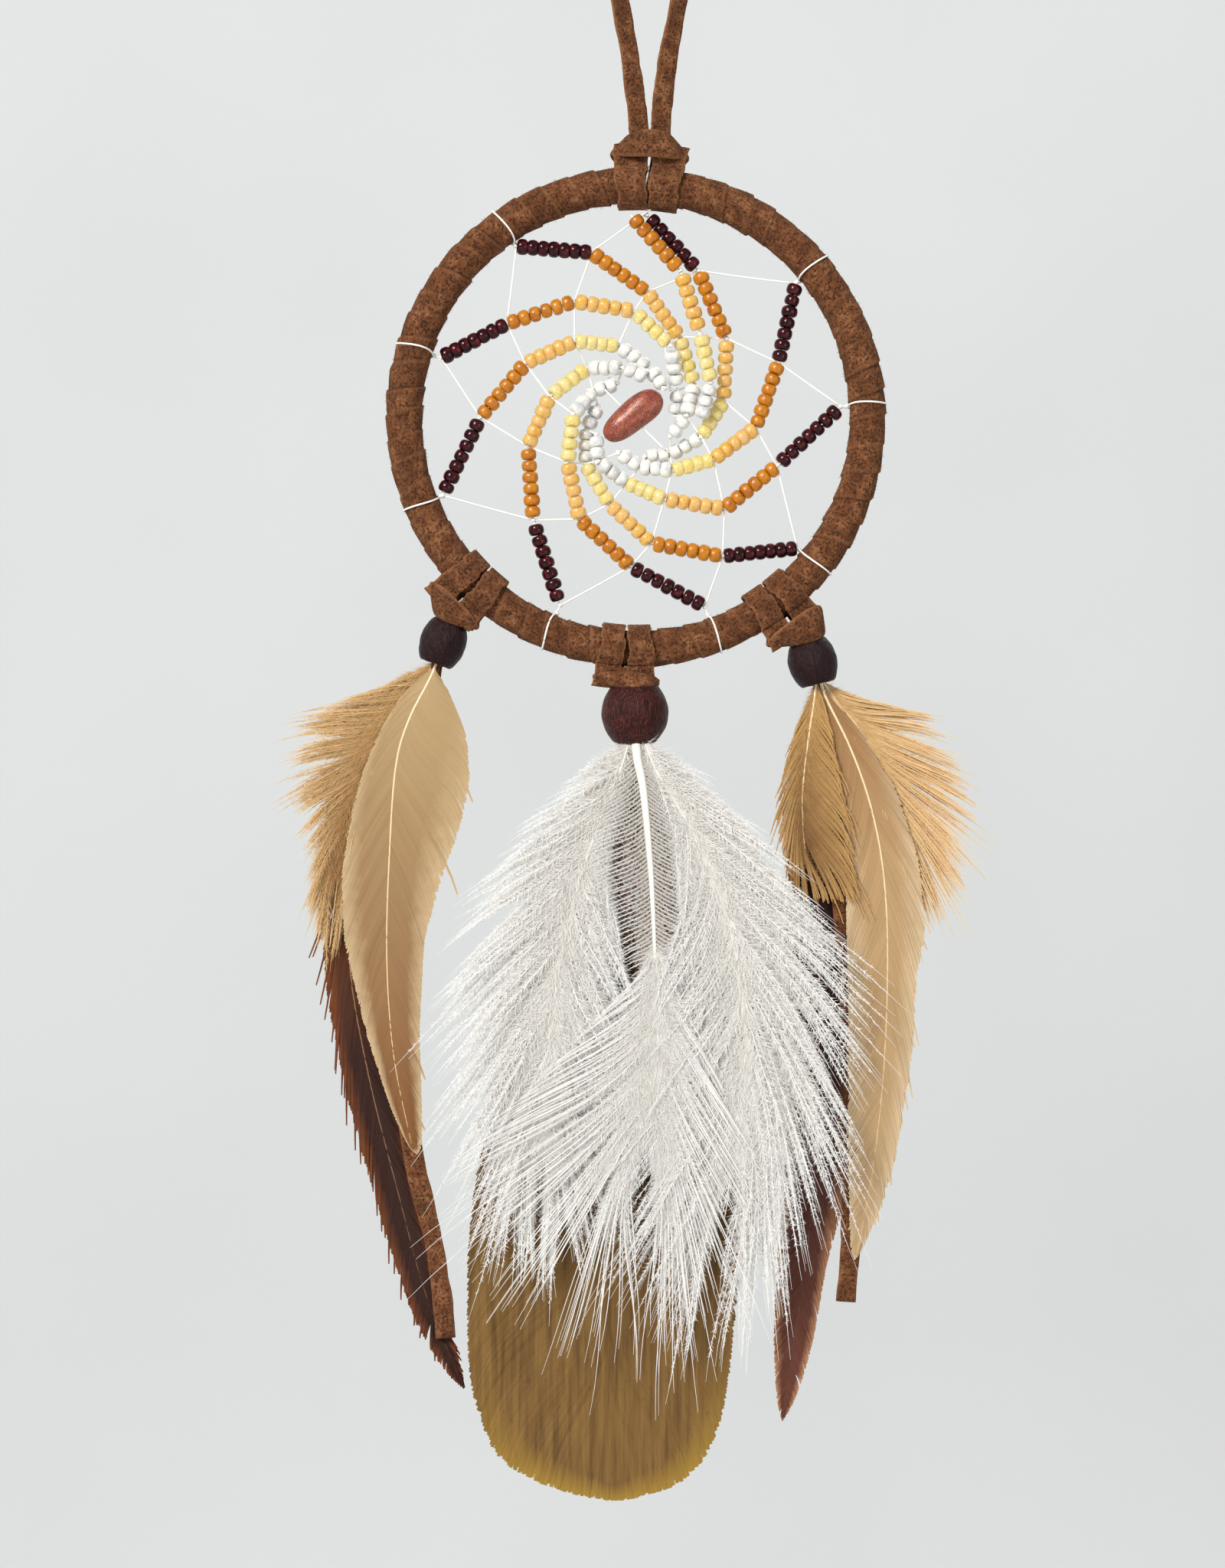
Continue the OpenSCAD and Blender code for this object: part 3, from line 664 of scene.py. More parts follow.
# ---------------------------------------------------------------- the wrapped hoop
def make_wrap():
    """Lace wound on the slant: each turn's edge stands a little over the next."""
    turns, per_turn, corners = 58, 14, 40
    rise = 0.06                      # the share of a turn in which its edge stands up
    sunk = 0.26                      # how deep the lowest places lie, in millimetres
    fibres = 5200
    rng = np.random.default_rng(5)
    grid_u = np.arange(turns * per_turn)[:, None] / per_turn      # turns along the hoop
    grid_v = np.arange(corners)[None, :] / corners
    number = np.floor(grid_u + 1e-9).astype(int) % turns
    share = (grid_u - np.floor(grid_u + 1e-9)) * np.ones_like(grid_v)
    step = rng.uniform(0.12, 0.42, turns)[number]                 # millimetres
    edge = np.clip(share / rise, 0, 1)
    relief = step * (edge * (1 - share) ** 0.8) - sunk
    late = rng.uniform(-0.16, 0.16, turns)
    shift = lerp(late[number], late[(number + 1) % turns], share)
    slant = np.sin(2 * np.pi * grid_v + rng.uniform(0, 6, turns)[number]) * 0.05
    angle = 2 * np.pi * (grid_u + shift + slant * share + grid_v) / turns
    tube_angle = 2 * np.pi * grid_v + 0 * grid_u
    lumps = 0.06 * np.sin(7 * angle + 2 * tube_angle) + 0.05 * np.sin(19 * angle - tube_angle)
    radius = TUBE_R + (relief + lumps * 0.6) * MM
    out = HOOP_R + radius * np.cos(tube_angle)
    points = np.stack([out * np.cos(angle), radius * np.sin(tube_angle), out * np.sin(angle)], -1)
    points = points + HOOP
    count = turns * per_turn
    i, k = np.meshgrid(np.arange(count), np.arange(corners), indexing="ij")
    over = (k + 1) // corners
    beside = (i + over * per_turn) % count * corners + (k + 1) % corners
    ahead = ((i + 1) % count) * corners + k
    across = ((i + 1) + over * per_turn) % count * corners + (k + 1) % corners
    faces = np.stack([i * corners + k, beside, across, ahead], -1).reshape(-1, 4)
    shape = Shape()
    pale = np.clip(1 - np.abs(share - 0.10) / 0.08, 0, 1) * 0.55
    # painted shade, darkest in the fold where each turn meets the next, stronger on some turns than others
    crease_shade = np.clip(1 - np.minimum(share, 1 - share) / rise, 0, 1)
    crease_shade = crease_shade * rng.uniform(0.0, 0.6, turns)[number]
    shape.add(points, [faces], across=pale, along=crease_shade)
    pick = rng.integers(0, points.shape[0], fibres), rng.integers(0, corners, fibres)
    base = points[pick]
    core = HOOP + HOOP_R * unit((base - HOOP) * [1, 0, 1])
    lean = unit(unit(base - core) + 0.9 * rng.normal(size=base.shape))
    long = rng.uniform(0.25, 0.65, len(base))[:, None] * MM
    shape.needles(base, base + lean * long, np.full(len(base), NAP_W), across=0.4)
    stand_in(shape.make("wrapped_suede", WRAP_SUEDE), "suede_wrap", "hoop", "suede_wrap")


make_wrap()
nodes["hoop_ring"].data.materials.clear()
nodes["hoop_ring"].data.materials.append(metal_paint())


# ---------------------------------------------------------------- lark's head knots
def on_hoop(angle, out, deep, along):
    """A place by the tube: out from its middle, deep behind it, and along it, in millimetres."""
    a = np.radians(angle) + np.asarray(along, float) * MM / HOOP_R
    r = HOOP_R + np.asarray(out, float) * MM
    deep = np.asarray(deep, float) * MM + 0 * a
    return HOOP + np.stack([r * np.cos(a), deep, r * np.sin(a)], -1)


def strap_rings(angle, middle, width, thick, seed, curl):
    """One strap of a lark's head: out of the bight, round the tube and back into the bight."""
    clear = 0.12                     # millimetres between the wrap and the strap
    reach = TUBE_R / MM + clear + thick / 2
    turns = np.radians(np.linspace(38, 322, 46))
    front_end = [[7.2, -1.4], [6.2, -1.7], [5.2, -2.1]]           # out and deep, in millimetres
    back_end = [[5.0, 2.7], [5.9, 2.4], [6.6, 2.0]]
    round_tube = reach * np.stack([np.cos(turns), -np.sin(turns)], 1)
    path = smooth_route(np.concatenate([front_end, round_tube, back_end]), 2)
    ahead = tangents(path)
    normal = np.stack([-ahead[:, 1], ahead[:, 0]], 1)
    side, flat = rounded_bar(width, thick, 16)
    wave = wobble(np.arange(len(path)) * 0.5, seed, 0.25)[:, None]
    lift = curl * (2 * np.abs(side) / width) ** 4
    away = (flat + lift)[None, :]
    if np.dot(normal[len(path) // 2], path[len(path) // 2]) < 0:
        normal = -normal
    place = path[:, None] + normal[:, None] * away[..., None]
    return on_hoop(angle, place[..., 0], place[..., 1], middle + side[None] + wave), side


def bight_rings(upper, lower, thick):
    """A band between an upper and a lower edge line, (n, 3) each in the row frame."""
    middle = (upper + lower) / 2
    down = unit(lower - upper)
    out = unit(np.cross(tangents(middle), down))
    centre = middle.mean(0)
    if np.einsum("ij,ij->", out, middle - centre) < 0:
        out = -out
    half = np.linalg.norm(lower - upper, axis=1) / 2
    side, flat = rounded_bar(2.0, 1.0, 16)
    return (middle[:, None] + down[:, None] * (side[None] * half[:, None])[..., None]
            + out[:, None] * (flat * thick)[None, :, None]), side


def add_strip(shape, rings, side):
    """A strip of suede whose cut edges show pale."""
    cut = np.clip((np.abs(side) / np.abs(side).max() - 0.88) / 0.12, 0, 1)
    shape.tubes(rings[None], across=np.tile(cut, len(rings)))


def leaning(lean):
    """The upward and the sideways direction of something that leans from upright."""
    return np.array([math.sin(lean), 0, math.cos(lean)]), np.array([math.cos(lean), 0, -math.sin(lean)])


def make_knot(name, node, angle, strap_w, split, band_half, throat, throat_half, lean, drop):
    """The lark's head of one drop: two straps over the hoop and the bight that gathers them."""
    strap_thick, band_thick, curl, nap = 0.85, 1.15, 0.18, 0.4    # millimetres
    band_out, band_deep = 3.9, 4.25                 # the band's upper edge, from the tube's middle
    shape = Shape()
    for i, side in enumerate((-1, 1)):
        rings, flat = strap_rings(angle, side * (strap_w + split) / 2, strap_w, strap_thick, 40 + i,
                                  curl)
        add_strip(shape, rings, flat)
        add_fuzz(shape, rings, 200, nap, 60 + i)
    turn = np.radians(np.linspace(-172, 172, 41))
    ease = np.sign(np.sin(turn)) * np.abs(np.sin(turn)) ** 0.8
    corner = 1.6 * np.abs(np.sin(turn)) ** 3
    upper = on_hoop(angle, band_out + corner + 0.5 * np.cos(turn), 0.1 - band_deep * np.cos(turn),
                    (band_half - 0.3) * ease)
    up, across = leaning(lean)
    lower = (throat + across * (throat_half * MM * np.sin(turn))[:, None]
             - Y_AXIS * ((throat_half + 0.4) * MM * np.cos(turn))[:, None]
             - up * (0.9 * MM * np.cos(turn))[:, None])
    rings, flat = bight_rings(upper, lower, band_thick * MM)
    add_strip(shape, rings, flat)
    add_fuzz(shape, rings, 300, nap, 70)
    made = shape.make(name, SUEDE)
    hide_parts(node)
    if drop:
        middle = on_hoop(angle, 4.6, 0, 0)
        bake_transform(made)
    else:
        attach(made, "hanger")


def bead_lean(drop):
    """The lean of a bead's axis from upright, from the line of its lace core."""
    core = np.array([v.co for v in nodes[drop + "_laces"].data.vertices], float)
    flat = core[:, [0, 2]] - core[:, [0, 2]].mean(0)
    axis = np.linalg.eigh(flat.T @ flat)[1][:, -1]
    axis = axis * np.sign(axis[1])
    return math.atan2(axis[0], axis[1])


def make_knots():
    strap, split = 4.4, 0.65
    for drop, angle, band_half, throat_half, sunk in (
            ("left", 226, 5.5, 2.9, 0.4), ("center", 267.5, 5.4, 3.6, 1.0), ("right", 307, 5.5, 3.0, 0.4)):
        lean = bead_lean(drop)
        top = middle_of(drop + "_wood_bead")
        half = (box_of(drop + "_wood_bead")[1] - top)[2]
        throat = top + leaning(lean)[0] * (half - sunk * MM)
        make_knot(drop + "_lark_head", drop + "_knot", angle, strap, split, band_half, throat,
                  throat_half, lean, drop + "_drop")


def make_hanger():
    angle, strap, split, band_half, throat_half, upside_down = 87, 5.5, 0.5, 6.5, 3.6, math.pi
    throat = from_hoop([2.4, 0, 49.8])
    make_knot("hanger_lark_head", "hanger_knot", angle, strap, split, band_half, throat,
              throat_half, upside_down, None)


make_knots()
make_hanger()


# ---------------------------------------------------------------- thread, beads and stone
def node_points(node):
    return np.array([v.co for v in nodes[node].data.vertices], float)


def islands(node):
    """The points of each separate solid of a CAD node."""
    mesh = nodes[node].data
    mesh.calc_loop_triangles()
    corners = np.zeros(3 * len(mesh.loop_triangles), np.int32)
    mesh.loop_triangles.foreach_get("vertices", corners)
    places, which = np.unique(np.round(node_points(node), 6), axis=0, return_inverse=True)
    corners = which.ravel()[corners].reshape(-1, 3)
    a, b = corners.ravel(), corners[:, [1, 2, 0]].ravel()
    label = np.arange(len(places))
    while True:
        lowest = np.minimum(label[a], label[b])
        joined = label.copy()
        np.minimum.at(joined, a, lowest)
        np.minimum.at(joined, b, lowest)
        joined = joined[joined]
        if (joined == label).all():
            break
        label = joined
    order = np.argsort(label, kind="stable")
    return [places[i] for i in np.split(order, np.flatnonzero(np.diff(label[order])) + 1)]


def spread_axes(points):
    """Directions from the least to the greatest spread, as columns."""
    return np.linalg.eigh(np.cov(points.T))[1]


def center_of(points):
    return (points.min(0) + points.max(0)) / 2


def about_axis(points, middle, axis):
    """The points' heights along an axis through the middle, and their distances from it."""
    off = points - middle
    height = off @ axis
    return height, np.linalg.norm(off - np.outer(height, axis), axis=1)


def turned_rings(profile, middle, axis, segments, wedge=0.0, oval=0.0):
    """A closed profile of (radius, height) turned about an axis: (segments, corners, 3)."""
    side, deep = square_to(axis[None])
    turns = around(segments)
    radius = profile[:, 0] * (1 + oval * np.cos(2 * turns))[:, None]
    height = profile[:, 1] * (1 + wedge * np.cos(turns + 1))[:, None]
    flat = circle(turns, side, deep)
    return middle + radius[..., None] * flat[:, None] + height[..., None] * axis


def seed_profile(radius, height, hole):
    t = np.radians(np.linspace(-90, 90, 13))
    r = hole + (radius - hole) * np.cos(t) ** 0.55
    h = height / 2 * np.sign(np.sin(t)) * np.abs(np.sin(t)) ** 0.95
    wall = [[hole * 0.96, height * 0.40], [hole * 0.96, -height * 0.40]]
    return np.concatenate([np.stack([r, h], 1), wall])


def make_seed_beads(kind, paint, seed):
    rng = np.random.default_rng(seed)
    shape = Shape()
    for points in islands(kind + "_beads"):
        middle = center_of(points)
        away = np.linalg.norm(points - middle, axis=1)
        axis = spread_axes(points[away < away.min() * 1.05])[:, -1]
        radius = about_axis(points, middle, axis)[1].max()
        tilted = unit(axis + rng.normal(0, 0.045, 3))
        profile = seed_profile(radius * rng.uniform(0.93, 1.01),
                               radius * rng.uniform(1.32, 1.40), 0.42 * MM)
        rings = turned_rings(profile, middle, tilted, 20, rng.uniform(-0.07, 0.07),
                             rng.uniform(-0.02, 0.02))
        shape.tubes(rings[None], round_trip=True, tint=rng.random())
    stand_in(shape.make(kind + "_seeds", paint), kind + "_glass", "hoop", kind + "_beads")


THREAD_R = 0.17 * MM
SAME_KNOT = 0.9 * MM             # thread ends closer than this share a knot


def knot_rings(middle, axis, turns, radius):
    a = np.linspace(0, turns * 2 * np.pi, int(14 * turns))
    side, deep = square_to(axis[None])
    path = (middle + radius * circle(a, side, deep)
            + axis * ((a - a.mean()) / (2 * np.pi) * 1.7 * THREAD_R)[:, None])
    return thread_rings(path, THREAD_R, 7)


def make_thread():
    """The web's one thread, a little slack between its knots, and the stone's own thread."""
    rng = np.random.default_rng(8)
    shape = Shape()
    ends = []
    t = np.linspace(-1, 1, 13)[:, None]
    for points in islands("web_thread") + islands("stone_thread"):
        middle, axis = points.mean(0), spread_axes(points)[:, -1]
        reach = np.abs((points - middle) @ axis).max() + 0.32 * MM
        sag = rng.uniform(0.004, 0.012) * reach
        path = middle + axis * t * reach - np.array([0, rng.uniform(-0.5, 0.5), 1]) * sag * (1 - t ** 2)
        shape.tubes(thread_rings(path, THREAD_R)[None])
        ends += [(path[0], axis), (path[-1], axis)]
    left = list(ends)
    while left:
        place, axis = left.pop()
        near = [e for e in left if np.linalg.norm(e[0] - place) < SAME_KNOT]
        left = [e for e in left if np.linalg.norm(e[0] - place) >= SAME_KNOT]
        if near:
            middle = np.mean([place] + [e[0] for e in near], axis=0)
            shape.tubes(knot_rings(middle, unit(axis + rng.normal(0, 0.3, 3)), 2.3, 0.27 * MM)[None])
    stand_in(shape.make("web_line", THREAD), "web_thread", "hoop", "web_thread", "stone_thread")


def make_hitches():
    """A turn of thread pulled tight over the wrap at each tie, with its half hitch inside."""
    rng = np.random.default_rng(9)
    shape = Shape()
    a = np.linspace(0, 2 * np.pi, 60)
    for points in islands("web_hitches"):
        middle, axis = points.mean(0), spread_axes(points)[:, 0]
        outward = unit(middle - HOOP)
        slant = rng.uniform(0.5, 0.9) * rng.choice([-1, 1]) * MM
        path = (middle + (TUBE_R + 0.10 * MM) * circle(a, outward, Y_AXIS)
                + axis * (slant * np.sin(a / 2) ** 2 * np.sin(a))[:, None])
        shape.tubes(thread_rings(path[:-1], THREAD_R)[None], round_trip=True)
        inside = middle - outward * (TUBE_R + 0.35 * MM)
        shape.tubes(knot_rings(inside, outward, 2.2, 0.26 * MM)[None])
    stand_in(shape.make("thread_hitches", THREAD), "web_thread", "hoop", "web_hitches")


def make_stone():
    """A tumbled chip with blunt round ends, a little fuller at its upper end."""
    points = node_points("center_stone")
    middle, axes = center_of(points), spread_axes(points)
    axis = axes[:, -1] * np.sign(axes[2, -1])
    height, distance = about_axis(points, middle, axis)
    longer, wider = 1.04, 1.1        # the photo's chip is a little fuller than the CAD stone
    half, wide = height.max() * longer, distance.max() * wider
    rows, corners = 44, 36
    t = np.linspace(-0.999, 0.999, rows)
    round_end = (1 - np.abs(t) ** 3.2) ** (1 / 2.1)
    fuller = 0.94 + 0.06 * t
    a = around(corners)
    lump = 1 + 0.025 * np.sin(2 * a[None] + 3 * t[:, None]) + 0.02 * np.cos(3 * a[None] - 4 * t[:, None])
    lump = lump - 0.05 * np.exp(-((t[:, None] - 0.1) / 0.5) ** 2) * np.cos(a[None] - 2.4) ** 8
    radius = (wide * round_end * fuller)[:, None] * lump
    rings = (middle + (axis * t[:, None] * half)[:, None]
             + radius[..., None] * circle(a, unit(np.cross(axis, Y_AXIS)), -0.93 * Y_AXIS))
    shape = Shape()
    shape.tubes(rings[None])
    stand_in(shape.make("goldstone_chip", goldstone_paint()), "goldstone", "stone", "center_stone")


BEAD_SEGMENTS = 56


def make_wood_bead(drop, paint, seed):
    """A turned bead with softened rims, a few dents and a true bore."""
    node = drop + "_wood_bead"
    points = node_points(node)
    axis = leaning(bead_lean(drop))[0]
    middle = center_of(points)
    height, radius = about_axis(points, middle, axis)
    half, belly, bore = height.max(), radius.max(), radius.min()
    rim = radius[np.abs(height) > 0.97 * half].max()
    t = np.linspace(-1, 1, 31)
    soft = np.clip((1 - np.abs(t)) / 0.10, 0, 1) ** 0.5
    outer = np.stack([(rim + (belly - rim) * (1 - t ** 2)) * (0.93 + 0.07 * soft),
                      half * np.sign(t) * np.abs(t) ** 0.97], 1)
    wall = np.array([[bore * 1.12, half * 0.985], [bore, half * 0.90], [bore, -half * 0.90],
                     [bore * 1.12, -half * 0.985]])
    rings = turned_rings(np.concatenate([outer, wall]), middle, axis, BEAD_SEGMENTS)
    rng = np.random.default_rng(seed)
    turns = around(BEAD_SEGMENTS)[:, None]
    run = np.arange(rings.shape[1])[None] * 0.3
    dent = sum(np.sin(k * turns + m * run + rng.random() * 6) for k, m in ((2, 1), (3, 2), (5, 1), (7, 3)))
    outward = unit(rings - middle)
    rings = rings + outward * (dent * 0.018 * MM)[..., None]
    shape = Shape()
    shape.tubes(rings[None], round_trip=True)
    stand_in(shape.make(drop + "_turned_bead", paint), "dark_wood", drop + "_drop", node)


def make_neck(drop, seed):
    """The two laces that run from the knot down into the bead."""
    axis, side = leaning(bead_lean(drop))
    bead = middle_of(drop + "_wood_bead")
    throat = joint_at(drop + "_drop_swing")
    shape = Shape()
    for i, way in enumerate((-1, 1)):
        places = [throat + axis * 1.6 * MM + side * way * 1.3 * MM + Y_AXIS * 0.5 * way * MM,
                  throat + side * way * 0.7 * MM + Y_AXIS * 0.6 * way * MM,
                  lerp(throat, bead, 0.5) + Y_AXIS * 0.65 * way * MM,
                  bead + Y_AXIS * 0.65 * way * MM]
        path = smooth_route([[*p, 0] for p in places], 6)
        rings, flat = lace_rings(path, seed + i, 3.4 * MM, 1.1 * MM)
        add_strip(shape, rings, flat)
    made = shape.make(drop + "_neck_laces", SUEDE)
    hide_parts(drop + "_laces")
    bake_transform(made)


SEED_GLASS = {
    "garnet": garnet_glass(),
    "amber": frosted_glass(
        "amber_glass", srgb(204, 122, 2), srgb(172, 88, 0), srgb(228, 152, 18), 0.4),
    "honey": frosted_glass(
        "honey_glass", srgb(246, 200, 92), srgb(236, 176, 58), srgb(250, 208, 146), 0.45),
    "straw": frosted_glass(
        "straw_glass", srgb(254, 234, 146), srgb(250, 222, 112), srgb(255, 242, 188), 0.5),
    "pearl": pearl_glass(),
}
for bead_seed, (bead_kind, bead_paint) in enumerate(SEED_GLASS.items(), 31):
    make_seed_beads(bead_kind, bead_paint, bead_seed)
make_thread()
make_hitches()
make_stone()
WOOD = dark_wood_paint("plum_wood", srgb(27, 10, 13), srgb(60, 28, 30))
RED_WOOD = dark_wood_paint("red_wood", srgb(42, 15, 14), srgb(104, 48, 40))
for bead_seed, (bead_drop, bead_paint) in enumerate(
        (("left", WOOD), ("center", RED_WOOD), ("right", WOOD))):
    make_wood_bead(bead_drop, bead_paint, 80 + bead_seed)
    make_neck(bead_drop, 90 + 3 * bead_seed)


# ---------------------------------------------------------------- feathers
LINE_POINTS = 241                # points in a resampled spine or edge


def even(line, count=LINE_POINTS):
    """A line resampled to points evenly spaced along it."""
    run = run_along(line)
    want = np.linspace(0, run[-1], count)
    return np.stack([np.interp(want, run, line[:, k]) for k in range(line.shape[1])], 1)


def along_line(line, share):
    """Points at shares of an evenly spaced line's length."""
    place = np.clip(share, 0, 1) * (len(line) - 1)
    low_end = np.minimum(place.astype(int), len(line) - 2)
    return lerp(line[low_end], line[low_end + 1], (place - low_end)[..., None])


def soft_line(line):
    """A corner-free line through the points of an outline."""
    line = even(np.asarray(line, float))
    padded = np.pad(line, ((8, 8), (0, 0)), mode="reflect", reflect_type="odd")
    window = np.hanning(19)[1:-1]
    window = window / window.sum()
    return even(np.stack([np.convolve(padded[:, k], window, "valid") for k in (0, 1)], 1))


def plate_edge(node, side):
    """One edge of a CAD feather plate in the XZ plane, from its top to its bottom's middle."""
    points = node_points(node)
    heights = np.unique(np.round(points[:, 2], 5))[::-1]
    rows = [points[np.abs(points[:, 2] - h) < 2e-5, 0] for h in heights]
    edge = [[row.min() if side < 0 else row.max(), h] for row, h in zip(rows, heights)]
    edge.append([(rows[-1].min() + rows[-1].max()) / 2, heights[-1] - 1e-5])
    return soft_line(edge)


def drawn_edge(*points):
    """An edge in the XZ plane through points in millimetres from the hoop's centre."""
    return soft_line([from_hoop([x, 0, z])[[0, 2]] for x, z in points])


def clumped(places, rng, size, pull, drift):
    """Draws barb tips together in clumps, which opens the small splits of a real vane."""
    count = len(places)
    cuts = np.cumsum(rng.integers(max(2, size // 2), size * 2, count))
    which = np.searchsorted(cuts[cuts < count], np.arange(count), side="right")
    middles = np.bincount(which, places) / np.bincount(which)
    moved = rng.normal(0, drift, which.max() + 1)
    return places + (middles[which] - places) * pull + moved[which], which


def barb_paths(spine, edge, side, rng, count, start, lead, end=0.995, power=1.0, size=20, pull=0.05,
               drift=0.0015, leave=30, curl=0.5, cup=0.0, ragged=0.03, deep=0.1, wild=0.0, steps=8):
    """Barbs from the quill to the vane's edge: their paths, each one's clump and its root."""
    share = np.linspace(0, 1, count)
    root = start + (end - start) * share
    tip, which = clumped(lead + (1 - lead) * share ** power, rng, size, pull, drift)
    tip = tip + rng.normal(0, 0.0015, count)
    first = along_line(spine, root)
    down = unit(along_line(spine, np.minimum(root + 0.01, 1)) - along_line(spine, root - 0.01))
    flat_tip = along_line(edge, tip)
    last = np.stack([flat_tip[:, 0], first[:, 1], flat_tip[:, 1]], 1)
    reach = 1 - np.abs(rng.normal(0, ragged, count))
    reach = reach + (rng.random(count) < wild) * rng.uniform(0.08, 0.30, count)
    last = first + (last - first) * reach[:, None]
    out = unit(np.cross(down, Y_AXIS)) * -side
    out = np.where((out[:, :1] * side) < 0, -out, out)
    angle = np.radians(leave)
    leaving = out * math.sin(angle) + down * math.cos(angle)
    long = np.linalg.norm(last - first, axis=1)[:, None]
    arriving = unit(lerp(unit(last - first), down, curl))
    last = last + Y_AXIS * (cup * MM + rng.normal(0, deep, count)[:, None] * MM)
    handle = 0.36                    # how far the curve's inner points lie from its ends
    second = first + leaving * handle * long
    third = last - arriving * handle * long
    t = np.linspace(0, 1, steps + 1)[None, :, None]
    first, second, third, last = (p[:, None] for p in (first, second, third, last))
    path = ((1 - t) ** 3 * first + 3 * (1 - t) ** 2 * t * second + 3 * (1 - t) * t ** 2 * third
            + t ** 3 * last)
    return path, which, root


def barb_rings(path, width, thick, roll, taper):
    """Flat four-cornered barbs; taper is the share of the width lost at the tip."""
    ahead = tangents(path)
    wide = unit(np.cross(ahead, -Y_AXIS))
    face = np.cross(wide, ahead)
    roll = roll[:, None, None]
    wide, face = (np.cos(roll) * wide + np.sin(roll) * face, np.cos(roll) * face - np.sin(roll) * wide)
    t = np.linspace(0, 1, path.shape[1])[None, :, None]
    half = width / 2 * (1 - taper * t ** 2.2)
    flat = thick / 2 * (1 - 0.6 * t)
    return np.stack([path + wide * half, path + face * flat, path - wide * half, path - face * flat], 2)


def add_barbs(shape, path, rng, width, thick, roll, taper, root, clump):
    count, length = path.shape[:2]
    rings = barb_rings(path, width * MM, thick * MM, rng.normal(roll, 0.12, count), taper)
    spread = np.broadcast_to(np.linspace(0, 1, length)[None, :, None], rings.shape[:3])
    where = np.broadcast_to(root[:, None, None] + 0.12 * spread, rings.shape[:3])
    shades = 0.4 + rng.random(count) * 0.3 + rng.random(clump.max() + 1)[clump] * 0.3
    tint = np.broadcast_to(shades[:, None, None], rings.shape[:3])
    shape.tubes(rings, across=spread, along=where, tint=tint)


def add_barbules(shape, path, rng, total, long, width, root, forward=0.9, loose=0.35, bare=0.9):
    """Fine side hairs along the barbs, shorter towards each barb's tip."""
    lengths = np.linalg.norm(np.diff(path, axis=1), axis=2).sum(1)
    which = rng.choice(len(path), total, p=lengths / lengths.sum())
    t = rng.random(total) * bare
    place = t * (path.shape[1] - 1)
    step = place.astype(int)
    base = lerp(path[which, step], path[which, step + 1], (place - step)[:, None])
    ahead = unit(path[which, step + 1] - path[which, step])
    side = unit(np.cross(ahead, -Y_AXIS)) * rng.choice([-1, 1], total)[:, None]
    lean = unit(ahead * forward + side * 0.7 + rng.normal(0, loose, (total, 3)))
    reach = long * MM * (1 - 0.85 * (t / bare) ** 1.6) * rng.uniform(0.5, 1.15, total)
    shape.needles(base, base + lean * reach[:, None], np.full(total, width * MM),
                  across=np.clip(t + 0.15, 0, 1), along=root[which] + 0.1 * t,
                  tint=rng.random(total) * 0.75)


def add_quill(shape, spine, thick, end_thick, flat=0.8):
    """The quill: a tapered tube, a little flat from front to back."""
    path = spine[::4]
    ahead = tangents(path)
    wide = unit(np.cross(ahead, Y_AXIS))
    face = np.cross(wide, ahead)
    t = np.linspace(0, 1, len(path))
    half = lerp(thick, end_thick, t ** 0.8) * MM / 2
    rings = path[:, None] + half[:, None, None] * circle(around(8), wide[:, None], flat * face[:, None])
    shape.tubes(rings[None], group=1, along=np.repeat(t, 8))


def spine_of(points):
    return even(smooth_route(from_hoop(points), 10))


def hang_feather(shape, name, node, slot, barbs, quill):
    made = shape.make(name, barbs, quill, smooth_from=1)
    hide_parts(node)
    hang_from_bead(made, node.split("_")[0])


PALE_QUILL = quill_paint("pale_quill", srgb(232, 210, 172), srgb(214, 180, 130))
WHITE_QUILL = quill_paint("white_quill", srgb(236, 230, 214), srgb(232, 230, 222))
DARK_QUILL = quill_paint("dark_quill", srgb(190, 140, 96), srgb(58, 30, 22))


def both_sides(node, line, edges, rng, count, **form):
    """The barb paths, clumps and roots of a feather's left side, then of its right side."""
    for i, side in enumerate((-1, 1)):
        edge = edges[i] if edges else plate_edge(node, side)
        yield barb_paths(line, edge, side, rng, count, **form)


def make_vane(name, node, slot, spine, paint, quill, seed, count, width, thick=0.12,
              quill_w=(0.5, 0.16), roll=0.25, taper=0.6, fluff=0, fluff_long=2.0, edges=None,
              **form):
    """A flat feather: closed rows of barbs, with loose down on it when fluff is set."""
    rng = np.random.default_rng(seed)
    shape = Shape()
    line = spine_of(spine)
    for path, clump, root in both_sides(node, line, edges, rng, count, **form):
        add_barbs(shape, path, rng, width, thick, roll, taper, root, clump)
        if fluff:
            add_barbules(shape, path, rng, fluff, fluff_long, 0.07, root, forward=1.3, bare=0.99)
    add_quill(shape, line, *quill_w)
    hang_feather(shape, name, node, slot, paint, quill)


